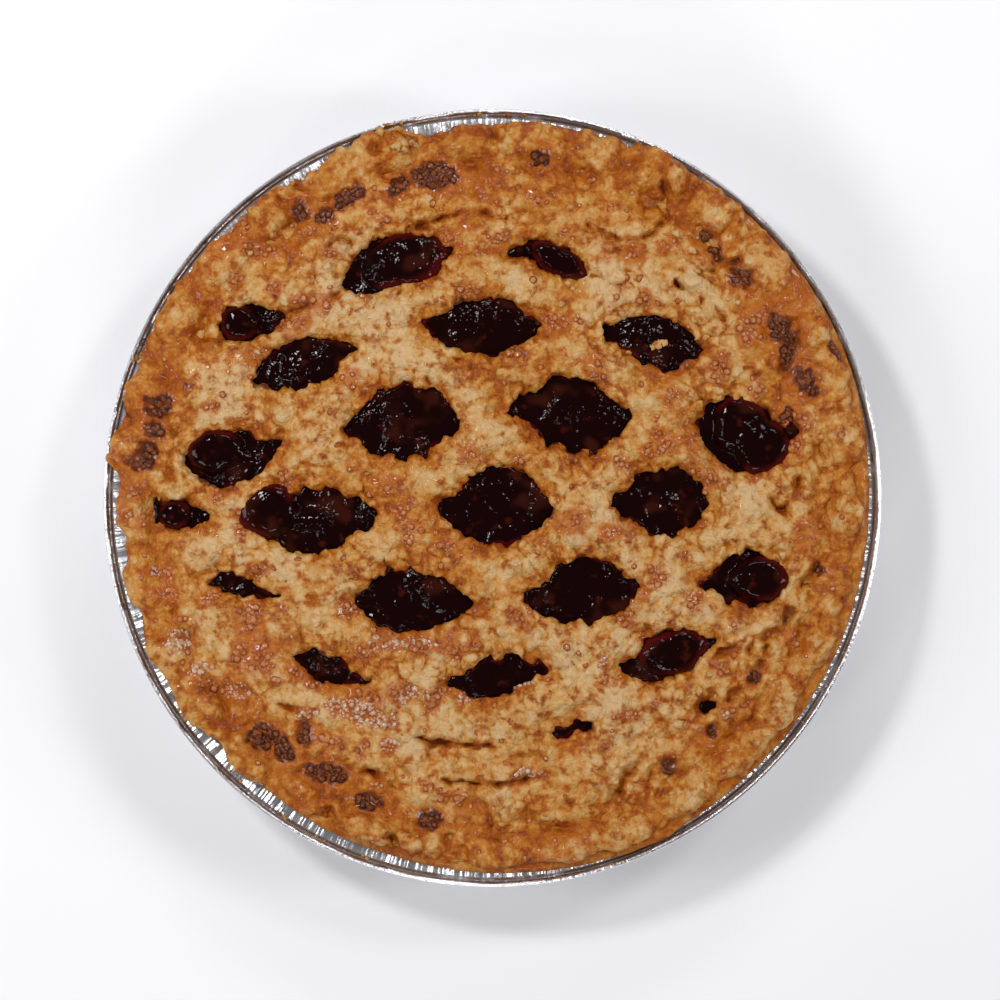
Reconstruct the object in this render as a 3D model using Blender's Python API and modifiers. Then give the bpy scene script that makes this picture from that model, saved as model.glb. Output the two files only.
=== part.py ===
"""A nine inch cherry pie, baked and sold in its pressed foil tin.

Lengths are in metres and +Z is up. The origin is the middle of the tin's flat underside.
Four pieces lie inside one another: the foil tin, the bottom crust that lines it and turns
out over its flange, the cherry filling, and the top crust, one sheet of dough that was cut
with rows of diamond windows, laid over the filling and crimped down all round. Every piece
is a turned profile. The profiles are offset from the face of the foil, so the pieces nest.
"""

import math
import random

import bmesh
import bpy
from mathutils import Matrix, Vector, noise

MM = 0.001

# Foil tin
TIN_RADIUS = 114.1 * MM
TIN_HEIGHT = 30.0 * MM
FOIL = 0.45 * MM
BEAD = 1.3 * MM
FLOOR_RADIUS = 84.5 * MM
FLOOR_BEND = 2.5 * MM
FLOOR_BEND_RISE = 0.7 * FLOOR_BEND
WALL_TOP = (105.2 * MM, 27.2 * MM)
SHOULDER = (106.5 * MM, 28.1 * MM)
FLANGE_HEIGHT = 28.5 * MM
TIN_STEPS = 54
BEAD_CORNERS = (130, 75, 20, -35, -90, -145)

# Bottom crust
GAP = 0.3 * MM
PASTRY = 2.8 * MM
CRUST_RADIUS = 109.6 * MM
CRUST_SHIFT = 1.4 * MM
SHIFT_TOWARDS = math.radians(40)
SHIFT_FROM_RADIUS = 104.0 * MM
SHELL_STEPS = 54
EDGE_ROUNDING = ((-1.4, 0.0), (-0.2, -0.7), (0.0, -2.0), (-0.6, -2.8))

# Top crust: radius and height of its upper face, and of its underside
CRUST_FACE = (
    (0.0, 37.0),
    (24.0, 36.7),
    (46.0, 36.0),
    (66.0, 35.1),
    (82.0, 34.2),
    (92.0, 33.9),
    (96.0, 33.8),
    (98.6, 33.7),
    (102.8, 35.0),
    (105.6, 34.5),
    (107.3, 33.2),
)
CRUST_UNDERSIDE = (
    (107.1, 32.0),
    (105.4, 31.75),
    (102.0, 30.6),
    (97.0, 30.4),
    (86.0, 30.6),
    (66.0, 31.8),
    (36.0, 33.1),
    (0.0, 33.8),
)
CRIMPS = 33
CRIMP_STEPS = 3
CRIMP_PHASE = math.radians(8.0)
CRIMP_SEED = 7
CRIMP_STRENGTHS = (0.5, 1.15)
CRIMP_ZONE = 93.0 * MM
CRIMP_PIT_RADIUS = 98.6 * MM
CRIMP_PIT_DEPTH = 2.0 * MM
CRIMP_PIT_REACH = 4.4 * MM
RIDGE_RADIUS = 101.0 * MM
EDGE_ZONE = 103.0 * MM
CRIMP_LOBE = 1.1 * MM
CRIMP_RIDGE = 0.6 * MM
BAND_WIDTH = 1.5 * MM
BAND_SWING = 1.2 * MM
BAND_WIDEST = math.radians(312)
LUMP_SIZE = 13.0 * MM
LUMP_HEIGHT = 0.7 * MM
PLAIN_UNDER_HEIGHT = 32.0 * MM
PLAIN_UNDER_RADIUS = 106.0 * MM
SKIN = 1.0 * MM

# Windows, in millimetres and degrees. First the cut: middle across and up, length, slant,
# rise and drop of the upper and lower edges, and how far along each of those edges peaks.
# Then the dough that baked out into it from the lower edge and from the upper one: how far
# along, breadth and depth. A depth below zero is a notch torn into the dough.
WINDOWS = (
    (
        (16.0, 69.0, 24.5, -13, 5.2, 3.2, 0.45, 0.80),
        ((0.27, 7.5, 2.3), (0.60, 4.0, 0.6)),
        (),
    ),
    (
        (-27.5, 67.0, 35.5, 19, 10.0, 4.8, 0.45, 0.35),
        ((0.50, 3.0, 0.4),),
        ((0.70, 9.0, 0.9), (0.90, 5.0, 1.6)),
    ),
    (
        (-70.0, 51.5, 20.5, 11, 5.5, 5.2, 0.25, 0.35),
        ((0.08, 2.5, -1.3),),
        ((0.78, 7.0, 0.9),),
    ),
    (
        (-3.0, 50.5, 35.5, -1, 7.8, 8.8, 0.60, 0.55),
        ((0.45, 2.0, -0.9), (0.60, 2.0, -0.7), (0.76, 5.0, 1.3)),
        ((0.18, 7.0, 1.9), (0.85, 6.0, 2.0)),
    ),
    (
        (46.5, 46.0, 31.0, -11, 7.0, 8.0, 0.55, 0.60),
        ((0.29, 9.5, 2.6), (0.55, 3.0, 0.8), (0.70, 2.5, -0.9), (0.85, 4.0, 1.5), (0.95, 3.0, -1.0)),
        ((0.15, 4.0, 0.7), (0.31, 3.0, 0.5)),
    ),
    (
        (-54.5, 39.0, 32.5, 17, 7.6, 6.7, 0.40, 0.45),
        ((0.08, 3.0, 1.3), (0.17, 2.5, -0.9), (0.28, 4.0, 1.4), (0.39, 2.5, -0.9),
         (0.50, 4.0, 0.9), (0.84, 7.0, 2.1)),
        ((0.30, 11.0, 0.6), (0.75, 5.0, 0.4)),
    ),
    (
        (22.0, 24.5, 38.0, -2, 10.6, 11.0, 0.50, 0.65),
        ((0.19, 10.5, 3.2), (0.44, 6.5, 1.9), (0.55, 2.5, -0.9), (0.64, 3.5, 1.2),
         (0.71, 2.5, -0.9), (0.83, 5.0, 1.4)),
        ((0.25, 8.5, 2.1), (0.38, 2.5, -0.9), (0.63, 4.0, 0.7), (0.82, 9.0, 2.5)),
    ),
    (
        (74.5, 21.0, 30.5, -4, 9.0, 13.5, 0.35, 0.50),
        ((0.90, 5.0, 1.3),),
        ((0.20, 4.0, 2.0), (0.36, 3.5, 2.4), (0.56, 8.0, 3.3), (0.79, 7.0, 4.2)),
    ),
    (
        (-26.0, 21.0, 34.5, 4, 12.0, 9.5, 0.55, 0.50),
        ((0.13, 6.0, 0.7), (0.36, 4.0, 1.1), (0.50, 2.5, -1.5), (0.58, 3.5, 0.9),
         (0.66, 2.5, -1.7), (0.79, 6.5, 2.1), (0.92, 3.0, -0.7)),
        ((0.19, 7.5, 1.4), (0.315, 2.0, -2.0), (0.42, 3.5, 0.8), (0.55, 2.5, -1.3),
         (0.66, 4.0, 1.4), (0.79, 3.0, -0.6)),
    ),
    (
        (-75.5, 13.5, 30.5, 11, 6.0, 9.5, 0.40, 0.45),
        ((0.50, 3.0, 0.5), (0.86, 8.0, 1.6)),
        ((0.45, 7.0, 0.5), (0.80, 6.5, 2.9)),
    ),
    (
        (49.0, -1.5, 29.0, 0, 10.6, 9.8, 0.60, 0.55),
        ((0.26, 6.5, 2.3), (0.50, 4.0, 1.0), (0.62, 2.5, -1.0), (0.73, 3.5, 1.4), (0.87, 4.0, -0.7)),
        ((0.03, 3.0, -1.2), (0.16, 4.5, 2.4), (0.40, 5.0, 1.1), (0.56, 3.0, 0.9), (0.94, 3.0, -0.8)),
    ),
    (
        (1.0, -3.0, 34.5, -1, 12.0, 10.2, 0.55, 0.50),
        ((0.32, 3.0, 0.5), (0.42, 2.5, -1.2), (0.51, 2.5, 0.3), (0.60, 2.5, -1.1), (0.76, 4.5, 0.8)),
        ((0.18, 6.5, 3.1), (0.36, 4.5, 1.4), (0.46, 3.0, -1.4), (0.66, 6.0, -0.7), (0.86, 4.0, 1.1)),
    ),
    (
        (-90.0, -5.0, 17.0, 4, 4.2, 4.2, 0.30, 0.50),
        ((0.50, 4.0, 1.2),),
        ((0.76, 6.0, 1.9),),
    ),
    (
        (-52.5, -5.5, 39.5, 3, 9.0, 10.3, 0.45, 0.50),
        ((0.22, 4.5, 1.0), (0.33, 2.5, -0.9), (0.39, 2.5, 0.7), (0.52, 3.0, -1.3),
         (0.60, 3.0, 0.6), (0.79, 5.5, 2.0), (0.92, 4.5, -1.6)),
        ((0.15, 5.0, -0.6), (0.37, 5.5, 2.4), (0.55, 4.0, 1.4), (0.615, 2.0, -0.8), (0.74, 4.5, 1.7)),
    ),
    (
        (73.0, -25.0, 26.0, 4, 9.2, 7.2, 0.55, 0.60),
        ((0.17, 6.0, 3.0), (0.46, 5.0, 1.9), (0.60, 2.5, -0.6), (0.72, 4.0, 1.6)),
        ((0.17, 7.5, 1.8),),
    ),
    (
        (-73.0, -26.0, 24.5, -11, 3.6, 2.8, 0.40, 0.60),
        ((0.65, 5.5, 1.0), (0.92, 3.0, -0.5)),
        ((0.10, 4.5, 1.8), (0.45, 6.0, 1.1), (0.78, 8.0, 2.5)),
    ),
    (
        (26.0, -27.5, 34.5, 6, 10.2, 9.0, 0.55, 0.50),
        ((0.05, 4.0, -1.4), (0.22, 4.5, 1.1), (0.35, 2.0, -0.3), (0.44, 4.5, 1.3),
         (0.55, 2.5, -0.9), (0.67, 3.5, 0.9), (0.86, 8.0, -1.3)),
        ((0.20, 9.0, 2.9), (0.42, 5.0, 1.6), (0.70, 4.0, 1.0), (0.86, 6.0, 2.7), (0.97, 3.0, -0.9)),
    ),
    (
        (-23.0, -30.5, 35.0, -2, 10.2, 8.6, 0.45, 0.40),
        ((0.28, 4.0, 0.6), (0.37, 2.5, -0.7), (0.62, 5.0, 0.4)),
        ((0.18, 6.5, 1.5), (0.28, 2.0, -0.4), (0.39, 4.5, 1.3), (0.57, 4.5, 1.6), (0.69, 3.5, 0.9)),
    ),
    (
        (51.0, -45.5, 30.5, 14, 6.0, 6.8, 0.60, 0.40),
        ((0.84, 7.0, 1.6),),
        ((0.18, 7.5, 2.2), (0.87, 6.0, 1.8)),
    ),
    (
        (-46.0, -49.0, 26.5, -16, 3.2, 5.6, 0.30, 0.45),
        ((0.70, 8.0, 1.2), (0.92, 3.0, -0.5)),
        ((0.09, 4.5, 1.2), (0.38, 5.5, 1.7), (0.77, 10.0, 2.9)),
    ),
    (
        (1.5, -52.0, 31.0, 8, 6.4, 5.6, 0.60, 0.45),
        ((0.12, 5.0, 0.7), (0.76, 10.0, 1.9)),
        ((0.24, 8.0, 2.0), (0.54, 4.0, 2.4), (0.80, 6.0, 2.7)),
    ),
    (
        (23.0, -67.5, 14.0, 5, 2.6, 2.4, 0.70, 0.30),
        ((0.62, 5.5, 1.8),),
        ((0.42, 6.0, 1.4),),
    ),
    (
        (63.0, -61.0, 6.5, 30, 1.6, 1.6, 0.50, 0.50),
        (),
        (),
    ),
)
SIDE_BOW = 2.4
LEAST_OPENING = 1.3 * MM
TIP_FADE = 3.5
OUTLINE_STEPS = 96
OUTLINE_TOLERANCE = 0.21 * MM
CUT_TOP = 45.0 * MM
CUT_BOTTOM = 25.0 * MM

# Filling
FILLING_GAP = 3.7 * MM
FILLING_RADII = (0.0, 36.0, 66.0, 86.0, 97.0)
FILLING_EDGE_RADIUS = 101.2 * MM
FILLING_STEPS = 33
SWELLING_WINDOWS = (1, 2, 7, 9, 13, 14, 18)
SWELL_SHARE = 0.5
SWELL_HEIGHT = 1.8 * MM
SWELL_SINK = 3.0 * MM
SWELL_SIDES = 9
SWELL_RINGS = 7


def clear_scene():
    """Remove what the file opened with."""
    for item in list(bpy.data.objects):
        bpy.data.objects.remove(item, do_unlink=True)


def new_collection(name):
    made = bpy.data.collections.new(name)
    bpy.context.scene.collection.children.link(made)
    return made


def finish(name, colour, roughness, metallic=0.0):
    """A plain Principled material for one piece."""
    made = bpy.data.materials.new(name)
    made.use_nodes = True
    shader = made.node_tree.nodes["Principled BSDF"]
    shader.inputs["Base Color"].default_value = (*colour, 1.0)
    shader.inputs["Roughness"].default_value = roughness
    shader.inputs["Metallic"].default_value = metallic
    return made


def between(points, radius):
    """Height at a radius, in metres, on a profile of (radius, height) pairs in millimetres."""
    ordered = sorted(points)
    for (r0, z0), (r1, z1) in zip(ordered, ordered[1:]):
        if r0 * MM <= radius <= r1 * MM:
            share = (radius / MM - r0) / (r1 - r0)
            return (z0 + share * (z1 - z0)) * MM
    return ordered[-1][1] * MM


def offset_path(path, distance):
    """The path moved sideways to its left, with mitred corners."""
    moved = []
    for i, point in enumerate(path):
        here = Vector(point)
        normals = []
        if i > 0:
            along = (here - Vector(path[i - 1])).normalized()
            normals.append(Vector((-along.y, along.x)))
        if i < len(path) - 1:
            along = (Vector(path[i + 1]) - here).normalized()
            normals.append(Vector((-along.y, along.x)))
        if len(normals) == 1:
            step = normals[0]
        else:
            step = (normals[0] + normals[1]) / (1.0 + normals[0].dot(normals[1]))
        moved.append(tuple(here + step * distance))
    return moved


def dish_path():
    """The upper face of the foil, from the middle of the floor out to the bead."""
    return [
        (0.0, FOIL),
        (FLOOR_RADIUS, FOIL),
        (FLOOR_RADIUS + FLOOR_BEND, FOIL + FLOOR_BEND_RISE),
        WALL_TOP,
        SHOULDER,
        (TIN_RADIUS - 2 * BEAD, FLANGE_HEIGHT),
    ]


def turned(name, profile, steps, collection):
    """A closed body: the profile runs from the axis out over the top and back underneath."""
    mesh = bpy.data.meshes.new(name)
    points = [(radius, 0.0, height) for radius, height in profile]
    edges = [(i, i + 1) for i in range(len(points) - 1)]
    mesh.from_pydata(points, edges, [])
    made = bpy.data.objects.new(name, mesh)
    collection.objects.link(made)
    screw = made.modifiers.new("turn", "SCREW")
    screw.axis = "Z"
    screw.angle = math.tau
    screw.steps = steps
    screw.render_steps = steps
    screw.use_merge_vertices = True
    screw.merge_threshold = 0.01 * MM
    return made


def applied(made):
    """Replace the object's mesh with its evaluated one, and drop its modifiers."""
    graph = bpy.context.evaluated_depsgraph_get()
    mesh = bpy.data.meshes.new_from_object(made.evaluated_get(graph))
    made.modifiers.clear()
    made.data = mesh
    return made


def boolean(made, cutter, operation):
    """Join or cut with the EXACT solver."""
    step = made.modifiers.new(operation.lower(), "BOOLEAN")
    step.operation = operation
    step.object = cutter
    step.solver = "EXACT"


def shade(made, angle=35):
    made.data.shade_smooth()
    made.data.set_sharp_from_angle(angle=math.radians(angle))


def crust_shift(x, y):
    """How far a point of the crusts' rim lies off centre: nothing inside the wall's top."""
    radius = math.hypot(x, y)
    share = (radius - SHIFT_FROM_RADIUS) / (CRUST_RADIUS - SHIFT_FROM_RADIUS)
    reach = CRUST_SHIFT * min(1.0, max(0.0, share))
    return reach * math.cos(SHIFT_TOWARDS), reach * math.sin(SHIFT_TOWARDS)


def build_tin(collection):
    """Thin foil: flat floor, flared wall, flange, and an edge rolled into a bead."""
    face = dish_path()
    centre = (TIN_RADIUS - BEAD, TIN_HEIGHT - BEAD)
    bead = []
    for degrees in BEAD_CORNERS:
        turn = math.radians(degrees)
        bead.append((centre[0] + BEAD * math.cos(turn), centre[1] + BEAD * math.sin(turn)))
    back = offset_path(face, -FOIL)[::-1]
    made = turned("foil_tin", face + bead + back, TIN_STEPS, collection)
    made.data.materials.append(finish("foil", (0.80, 0.81, 0.83), 0.28, 1.0))
    shade(applied(made))


def build_bottom_crust(collection):
    """The pastry shell: it lines the tin and turns out over the flange to a rounded edge."""
    outside = offset_path(dish_path(), GAP)[:-1]
    inside = offset_path(dish_path(), GAP + PASTRY)[:-1]
    high = FLANGE_HEIGHT + GAP + PASTRY
    rim = [(CRUST_RADIUS + out * MM, high + up * MM) for out, up in EDGE_ROUNDING]
    made = turned("bottom_crust", inside + rim + outside[::-1], SHELL_STEPS, collection)
    applied(made)
    for vertex in made.data.vertices:
        across, up = crust_shift(vertex.co.x, vertex.co.y)
        vertex.co.x += across
        vertex.co.y += up
    made.data.materials.append(finish("bottom_pastry", (0.50, 0.23, 0.06), 0.60))
    shade(made)


def window_axes(window):
    """Middle, turn and half length of one window, in metres."""
    across, up, length, slant = window[0][:4]
    middle = Vector((across * MM, up * MM))
    return middle, Matrix.Rotation(math.radians(slant), 2), 0.5 * length * MM


def bow(share, height, peak):
    """How far a cut edge stands off the line between the tips, at a share of the length."""
    reach = share / peak if share < peak else (1.0 - share) / (1.0 - peak)
    return height * MM * (1.0 - (1.0 - reach) ** SIDE_BOW)


def grown_in(share, length, lobes):
    """How far the dough stands into the window past its cut edge: lobes in, notches out.

    It comes to nothing at the two tips, where the edges meet.
    """
    fade = min(1.0, min(share, 1.0 - share) * length / TIP_FADE)
    swell, tear = 0.0, 0.0
    for at, breadth, depth in lobes:
        off = abs(share - at) * length / (0.5 * breadth)
        if off < 1.0 and depth > 0.0:
            swell = max(swell, depth * math.sqrt(1.0 - off * off))
        elif off < 1.0:
            tear += depth * (1.0 - off)
    return fade * (swell + tear) * MM


def simplified(points):
    """The line without the points that lie within the tolerance of it."""
    first, last = points[0], points[-1]
    along = (last - first).normalized()
    gaps = [abs(along.cross(point - first)) for point in points]
    widest = max(range(len(points)), key=gaps.__getitem__)
    if gaps[widest] < OUTLINE_TOLERANCE:
        return [first, last]
    return simplified(points[: widest + 1])[:-1] + simplified(points[widest:])


def window_outline(window):
    """Points round one window, counter-clockwise."""
    length = window[0][2]
    rise, drop, rise_at, drop_at = window[0][4:]
    middle, turn, half = window_axes(window)
    lower, upper = [], []
    for i in range(OUTLINE_STEPS + 1):
        share = i / OUTLINE_STEPS
        low = -bow(share, drop, drop_at)
        high = bow(share, rise, rise_at)
        opening = min(LEAST_OPENING, 0.6 * (high - low))
        low += grown_in(share, length, window[1])
        high -= grown_in(share, length, window[2])
        if high - low < opening:
            halfway = 0.5 * (high + low)
            low, high = halfway - 0.5 * opening, halfway + 0.5 * opening
        along = (2.0 * share - 1.0) * half
        lower.append(Vector((along, low)))
        upper.append(Vector((along, high)))
    upper.reverse()
    outline = simplified(lower)[:-1] + simplified(upper)[:-1]
    return [middle + turn @ point for point in outline]


def window_cutters(cutters):
    """All the windows as one set of upright prisms."""
    curve = bpy.data.curves.new("window_cuts", "CURVE")
    curve.dimensions = "2D"
    curve.fill_mode = "BOTH"
    curve.extrude = 0.5 * (CUT_TOP - CUT_BOTTOM)
    for window in WINDOWS:
        outline = window_outline(window)
        spline = curve.splines.new("POLY")
        spline.points.add(len(outline) - 1)
        for point, place in zip(spline.points, outline):
            point.co = (place.x, place.y, 0.0, 1.0)
        spline.use_cyclic_u = True
    outlines = bpy.data.objects.new("window_outlines", curve)
    outlines.location.z = 0.5 * (CUT_TOP + CUT_BOTTOM)
    cutters.objects.link(outlines)
    bpy.context.view_layer.update()
    graph = bpy.context.evaluated_depsgraph_get()
    mesh = bpy.data.meshes.new_from_object(outlines.evaluated_get(graph))
    made = bpy.data.objects.new("window_cuts", mesh)
    made.matrix_world = outlines.matrix_world
    cutters.objects.link(made)
    bpy.data.objects.remove(outlines, do_unlink=True)
    tidy = bmesh.new()
    tidy.from_mesh(mesh)
    bmesh.ops.remove_doubles(tidy, verts=tidy.verts, dist=0.01 * MM)
    bmesh.ops.recalc_face_normals(tidy, faces=tidy.faces)
    tidy.to_mesh(mesh)
    tidy.free()
    hide_cutter(made)
    return made


def hide_cutter(made):
    made.hide_render = True
    made.display_type = "WIRE"


def build_filling(collection, cutters):
    """Set cherry filling up to the underside of the top crust, welled up in some windows."""
    top = [(r * MM, between(CRUST_UNDERSIDE, r * MM) - GAP) for r in FILLING_RADII]
    brim = (FILLING_EDGE_RADIUS, between(CRUST_UNDERSIDE, FILLING_EDGE_RADIUS) - GAP)
    side = offset_path(dish_path(), FILLING_GAP)[:-2]
    made = turned("filling", top + [brim] + side[::-1], FILLING_STEPS, collection)
    applied(made)
    swells = bmesh.new()
    for number in SWELLING_WINDOWS:
        window = WINDOWS[number]
        middle, turn, half = window_axes(window)
        rise, drop = window[0][4:6]
        level = between(CRUST_UNDERSIDE, middle.length) - GAP
        place = Matrix.Translation((middle.x, middle.y, level - SWELL_SINK))
        place @= turn.to_3x3().to_4x4()
        place @= Matrix.Translation((0.0, 0.5 * (rise - drop) * MM, 0.0))
        width = 0.5 * SWELL_SHARE * (rise + drop) * MM
        size = (SWELL_SHARE * half, width, SWELL_SINK + SWELL_HEIGHT)
        place @= Matrix.Diagonal((*size, 1.0))
        bmesh.ops.create_uvsphere(
            swells, u_segments=SWELL_SIDES, v_segments=SWELL_RINGS, radius=1.0, matrix=place
        )
    mesh = bpy.data.meshes.new("swells")
    swells.to_mesh(mesh)
    swells.free()
    lumps = bpy.data.objects.new("swells", mesh)
    cutters.objects.link(lumps)
    hide_cutter(lumps)
    boolean(made, lumps, "UNION")
    made.data.materials.append(finish("cherry_filling", (0.035, 0.004, 0.006), 0.12))
    shade(made)


def crimp_strength(angle, strengths):
    """From 0 between two crimps to the crimp's own strength at its pit."""
    place = (angle - CRIMP_PHASE) % math.tau / math.tau * CRIMPS
    nearest = round(place)
    return strengths[nearest % CRIMPS] * 0.5 * (1 + math.cos(math.tau * (place - nearest)))


def thin_spokes(mesh):
    """Leave one spoke in three inside the crimps and underneath, where the sheet is plain."""
    shape = bmesh.new()
    shape.from_mesh(mesh)
    pitch = math.tau / (CRIMPS * CRIMP_STEPS)
    spare = []
    for edge in shape.edges:
        a, b = (vertex.co for vertex in edge.verts)
        inner, outer = sorted((math.hypot(a.x, a.y), math.hypot(b.x, b.y)))
        along_ring = outer - inner < 0.01 * MM and outer > SKIN
        under = (a.z + b.z) / 2 < PLAIN_UNDER_HEIGHT and outer < PLAIN_UNDER_RADIUS
        reach = math.atan2(a.y + b.y, a.x + b.x) % math.tau / pitch
        if not along_ring and (outer < CRIMP_ZONE or under) and round(reach) % CRIMP_STEPS:
            spare.append(edge)
    bmesh.ops.dissolve_edges(shape, edges=spare, use_verts=True)
    bmesh.ops.triangulate(shape, faces=shape.faces)
    shape.to_mesh(mesh)
    shape.free()


def shape_top_crust(mesh):
    """Press the crimps, scallop the edge and raise the baked lumps."""
    rng = random.Random(CRIMP_SEED)
    strengths = [rng.uniform(*CRIMP_STRENGTHS) for _ in range(CRIMPS)]
    plain_edge = CRUST_FACE[-1][0] * MM
    for vertex in mesh.vertices:
        x, y, z = vertex.co
        radius = math.hypot(x, y)
        angle = math.atan2(y, x)
        upper = z > between(CRUST_UNDERSIDE, radius) + SKIN
        crimp = crimp_strength(angle, strengths)
        if upper:
            spread = max(0.0, 1 - abs(radius - CRIMP_PIT_RADIUS) / CRIMP_PIT_REACH)
            z -= CRIMP_PIT_DEPTH * crimp * spread
            if radius > RIDGE_RADIUS:
                z -= CRIMP_RIDGE * (1 - crimp)
            else:
                z += LUMP_HEIGHT * noise.noise(Vector((x, y, 0.0)) / LUMP_SIZE)
        if radius > EDGE_ZONE:
            band = BAND_WIDTH + BAND_SWING * math.cos(angle - BAND_WIDEST)
            edge = CRUST_RADIUS - band + CRIMP_LOBE * (2 * crimp - 1)
            share = (edge - EDGE_ZONE) / (plain_edge - EDGE_ZONE)
            radius = EDGE_ZONE + (radius - EDGE_ZONE) * share
        x = radius * math.cos(angle)
        y = radius * math.sin(angle)
        across, up = crust_shift(x, y)
        vertex.co = (x + across, y + up, z)


def build_top_crust(collection, cutters):
    """One sheet of dough with its windows cut through, crimped down round the edge."""
    profile = [(radius * MM, height * MM) for radius, height in CRUST_FACE + CRUST_UNDERSIDE]
    made = turned("top_crust", profile, CRIMPS * CRIMP_STEPS, collection)
    applied(made)
    thin_spokes(made.data)
    shape_top_crust(made.data)
    boolean(made, window_cutters(cutters), "DIFFERENCE")
    made.data.materials.append(finish("top_pastry", (0.66, 0.36, 0.13), 0.62))
    shade(made)


clear_scene()
pie = new_collection("cherry_pie")
cuts = new_collection("cutters")
build_tin(pie)
build_bottom_crust(pie)
build_filling(pie, cuts)
build_top_crust(pie, cuts)
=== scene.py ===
"""Looks of a nine inch cherry pie in its pressed foil tin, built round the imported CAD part.

Lengths are in metres unless a table says millimetres. +Z is up and the origin is the middle
of the tin's flat underside.
"""

import math
import random

import bpy
import numpy as np
from mathutils import Matrix, Vector
from mathutils.bvhtree import BVHTree
from mathutils.kdtree import KDTree


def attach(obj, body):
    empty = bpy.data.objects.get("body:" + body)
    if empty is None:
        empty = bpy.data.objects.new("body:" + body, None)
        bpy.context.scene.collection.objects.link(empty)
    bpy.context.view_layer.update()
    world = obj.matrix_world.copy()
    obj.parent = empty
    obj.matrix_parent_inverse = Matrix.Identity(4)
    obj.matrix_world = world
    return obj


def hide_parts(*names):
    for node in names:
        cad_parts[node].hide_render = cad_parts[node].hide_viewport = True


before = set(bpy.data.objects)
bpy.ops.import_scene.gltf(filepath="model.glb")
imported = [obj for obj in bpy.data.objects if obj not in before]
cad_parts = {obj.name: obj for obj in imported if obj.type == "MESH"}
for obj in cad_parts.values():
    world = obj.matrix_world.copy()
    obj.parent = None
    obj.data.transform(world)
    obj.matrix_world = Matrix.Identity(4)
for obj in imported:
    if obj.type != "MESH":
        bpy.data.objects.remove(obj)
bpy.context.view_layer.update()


# ---- Table, light and camera
# A plain pale table under soft studio light: a big soft box on the left is the main one, with
# weaker ones at the top, the right and the bottom. The camera hangs over the pie.
MM = 0.001
CAMERA_PLACE = (2.2 * MM, -0.6 * MM, 843 * MM)
LAMPS = (
    ("key", (-0.38, 0.34, 0.72), (0.12, 0.12), 2.9),
    ("left_box", (-0.66, -0.05, 0.55), (0.20, 0.34), 1.7),
    ("top_box", (0.10, 0.72, 0.52), (0.34, 0.12), 1.35),
    ("right_box", (0.74, -0.05, 0.46), (0.12, 0.30), 1.85),
    ("far_right", (0.42, 0.36, 0.66), (0.14, 0.14), 1.25),
    ("near_left", (-0.42, -0.46, 0.62), (0.14, 0.14), 0.6),
    ("bottom_box", (-0.05, -0.74, 0.50), (0.30, 0.12), 1.5),
)


def take(piece):
    """Make one object the only selected one, and the active one."""
    bpy.ops.object.select_all(action="DESELECT")
    piece.select_set(True)
    bpy.context.view_layer.objects.active = piece


def wire(tree, source, target):
    """Link two sockets."""
    tree.links.new(source, target)


def node(tree, kind, values=None, **settings):
    """Add a shader node, set its own settings and fill or link its inputs."""
    made = tree.nodes.new("ShaderNode" + kind)
    for name, value in settings.items():
        setattr(made, name, value)
    for name, value in (values or {}).items():
        if isinstance(value, bpy.types.NodeSocket):
            wire(tree, value, made.inputs[name])
        else:
            made.inputs[name].default_value = value
    return made


def new_material(name):
    """A material with its Principled shader, and the tree that holds both."""
    made = bpy.data.materials.new(name)
    made.use_nodes = True
    return made, made.node_tree, made.node_tree.nodes["Principled BSDF"]


bpy.ops.object.select_all(action="DESELECT")
bpy.ops.mesh.primitive_plane_add(size=3.0, location=(0.0, 0.0, -0.05 * MM))
table = bpy.context.object
table.name = "table"
table_paint, tree, shader = new_material("table_paint")
coords = node(tree, "TexCoord")
grain = node(tree, "TexNoise", {"Vector": coords.outputs["Object"], "Scale": 6.0})
tint = node(tree, "ValToRGB", {"Fac": grain.outputs["Fac"]})
tint.color_ramp.elements[0].color = (0.86, 0.86, 0.88, 1.0)
tint.color_ramp.elements[1].color = (0.90, 0.90, 0.92, 1.0)
wire(tree, tint.outputs["Color"], shader.inputs["Base Color"])
shader.inputs["Roughness"].default_value = 0.85
table.data.materials.append(table_paint)

for name, place, size, watts in LAMPS:
    bpy.ops.object.light_add(type="AREA", location=place)
    lamp = bpy.context.object
    lamp.name = name
    lamp.data.shape = "RECTANGLE"
    lamp.data.size, lamp.data.size_y = size
    lamp.data.energy = watts
    lamp.rotation_euler = (-Vector(place)).to_track_quat("-Z", "Y").to_euler()

studio = bpy.data.worlds.new("studio")
studio.use_nodes = True
studio.node_tree.nodes["Background"].inputs["Color"].default_value = (0.84, 0.83, 0.84, 1.0)
studio.node_tree.nodes["Background"].inputs["Strength"].default_value = 0.16
bpy.context.scene.world = studio
bpy.context.scene.view_settings.view_transform = "Standard"

bpy.ops.object.camera_add(location=CAMERA_PLACE, rotation=(0.0, 0.0, 0.0))
camera = bpy.context.object
camera.data.lens = 100.0
camera.data.sensor_width = 36.0
bpy.context.scene.camera = camera


# ---- Foil tin
# One disc of thin aluminium foil, pressed into a pan. The spare foil gathers in hundreds of
# fine pleats up the wall and over the flange, and the edge is rolled outwards into a bead.
# A brown band painted along the groove by the bead stands for the crust's reflection and shade there.
PLEATS = 540
PLEAT_VERTICES = 3
FOIL_THICKNESS = 0.12 * MM
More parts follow.
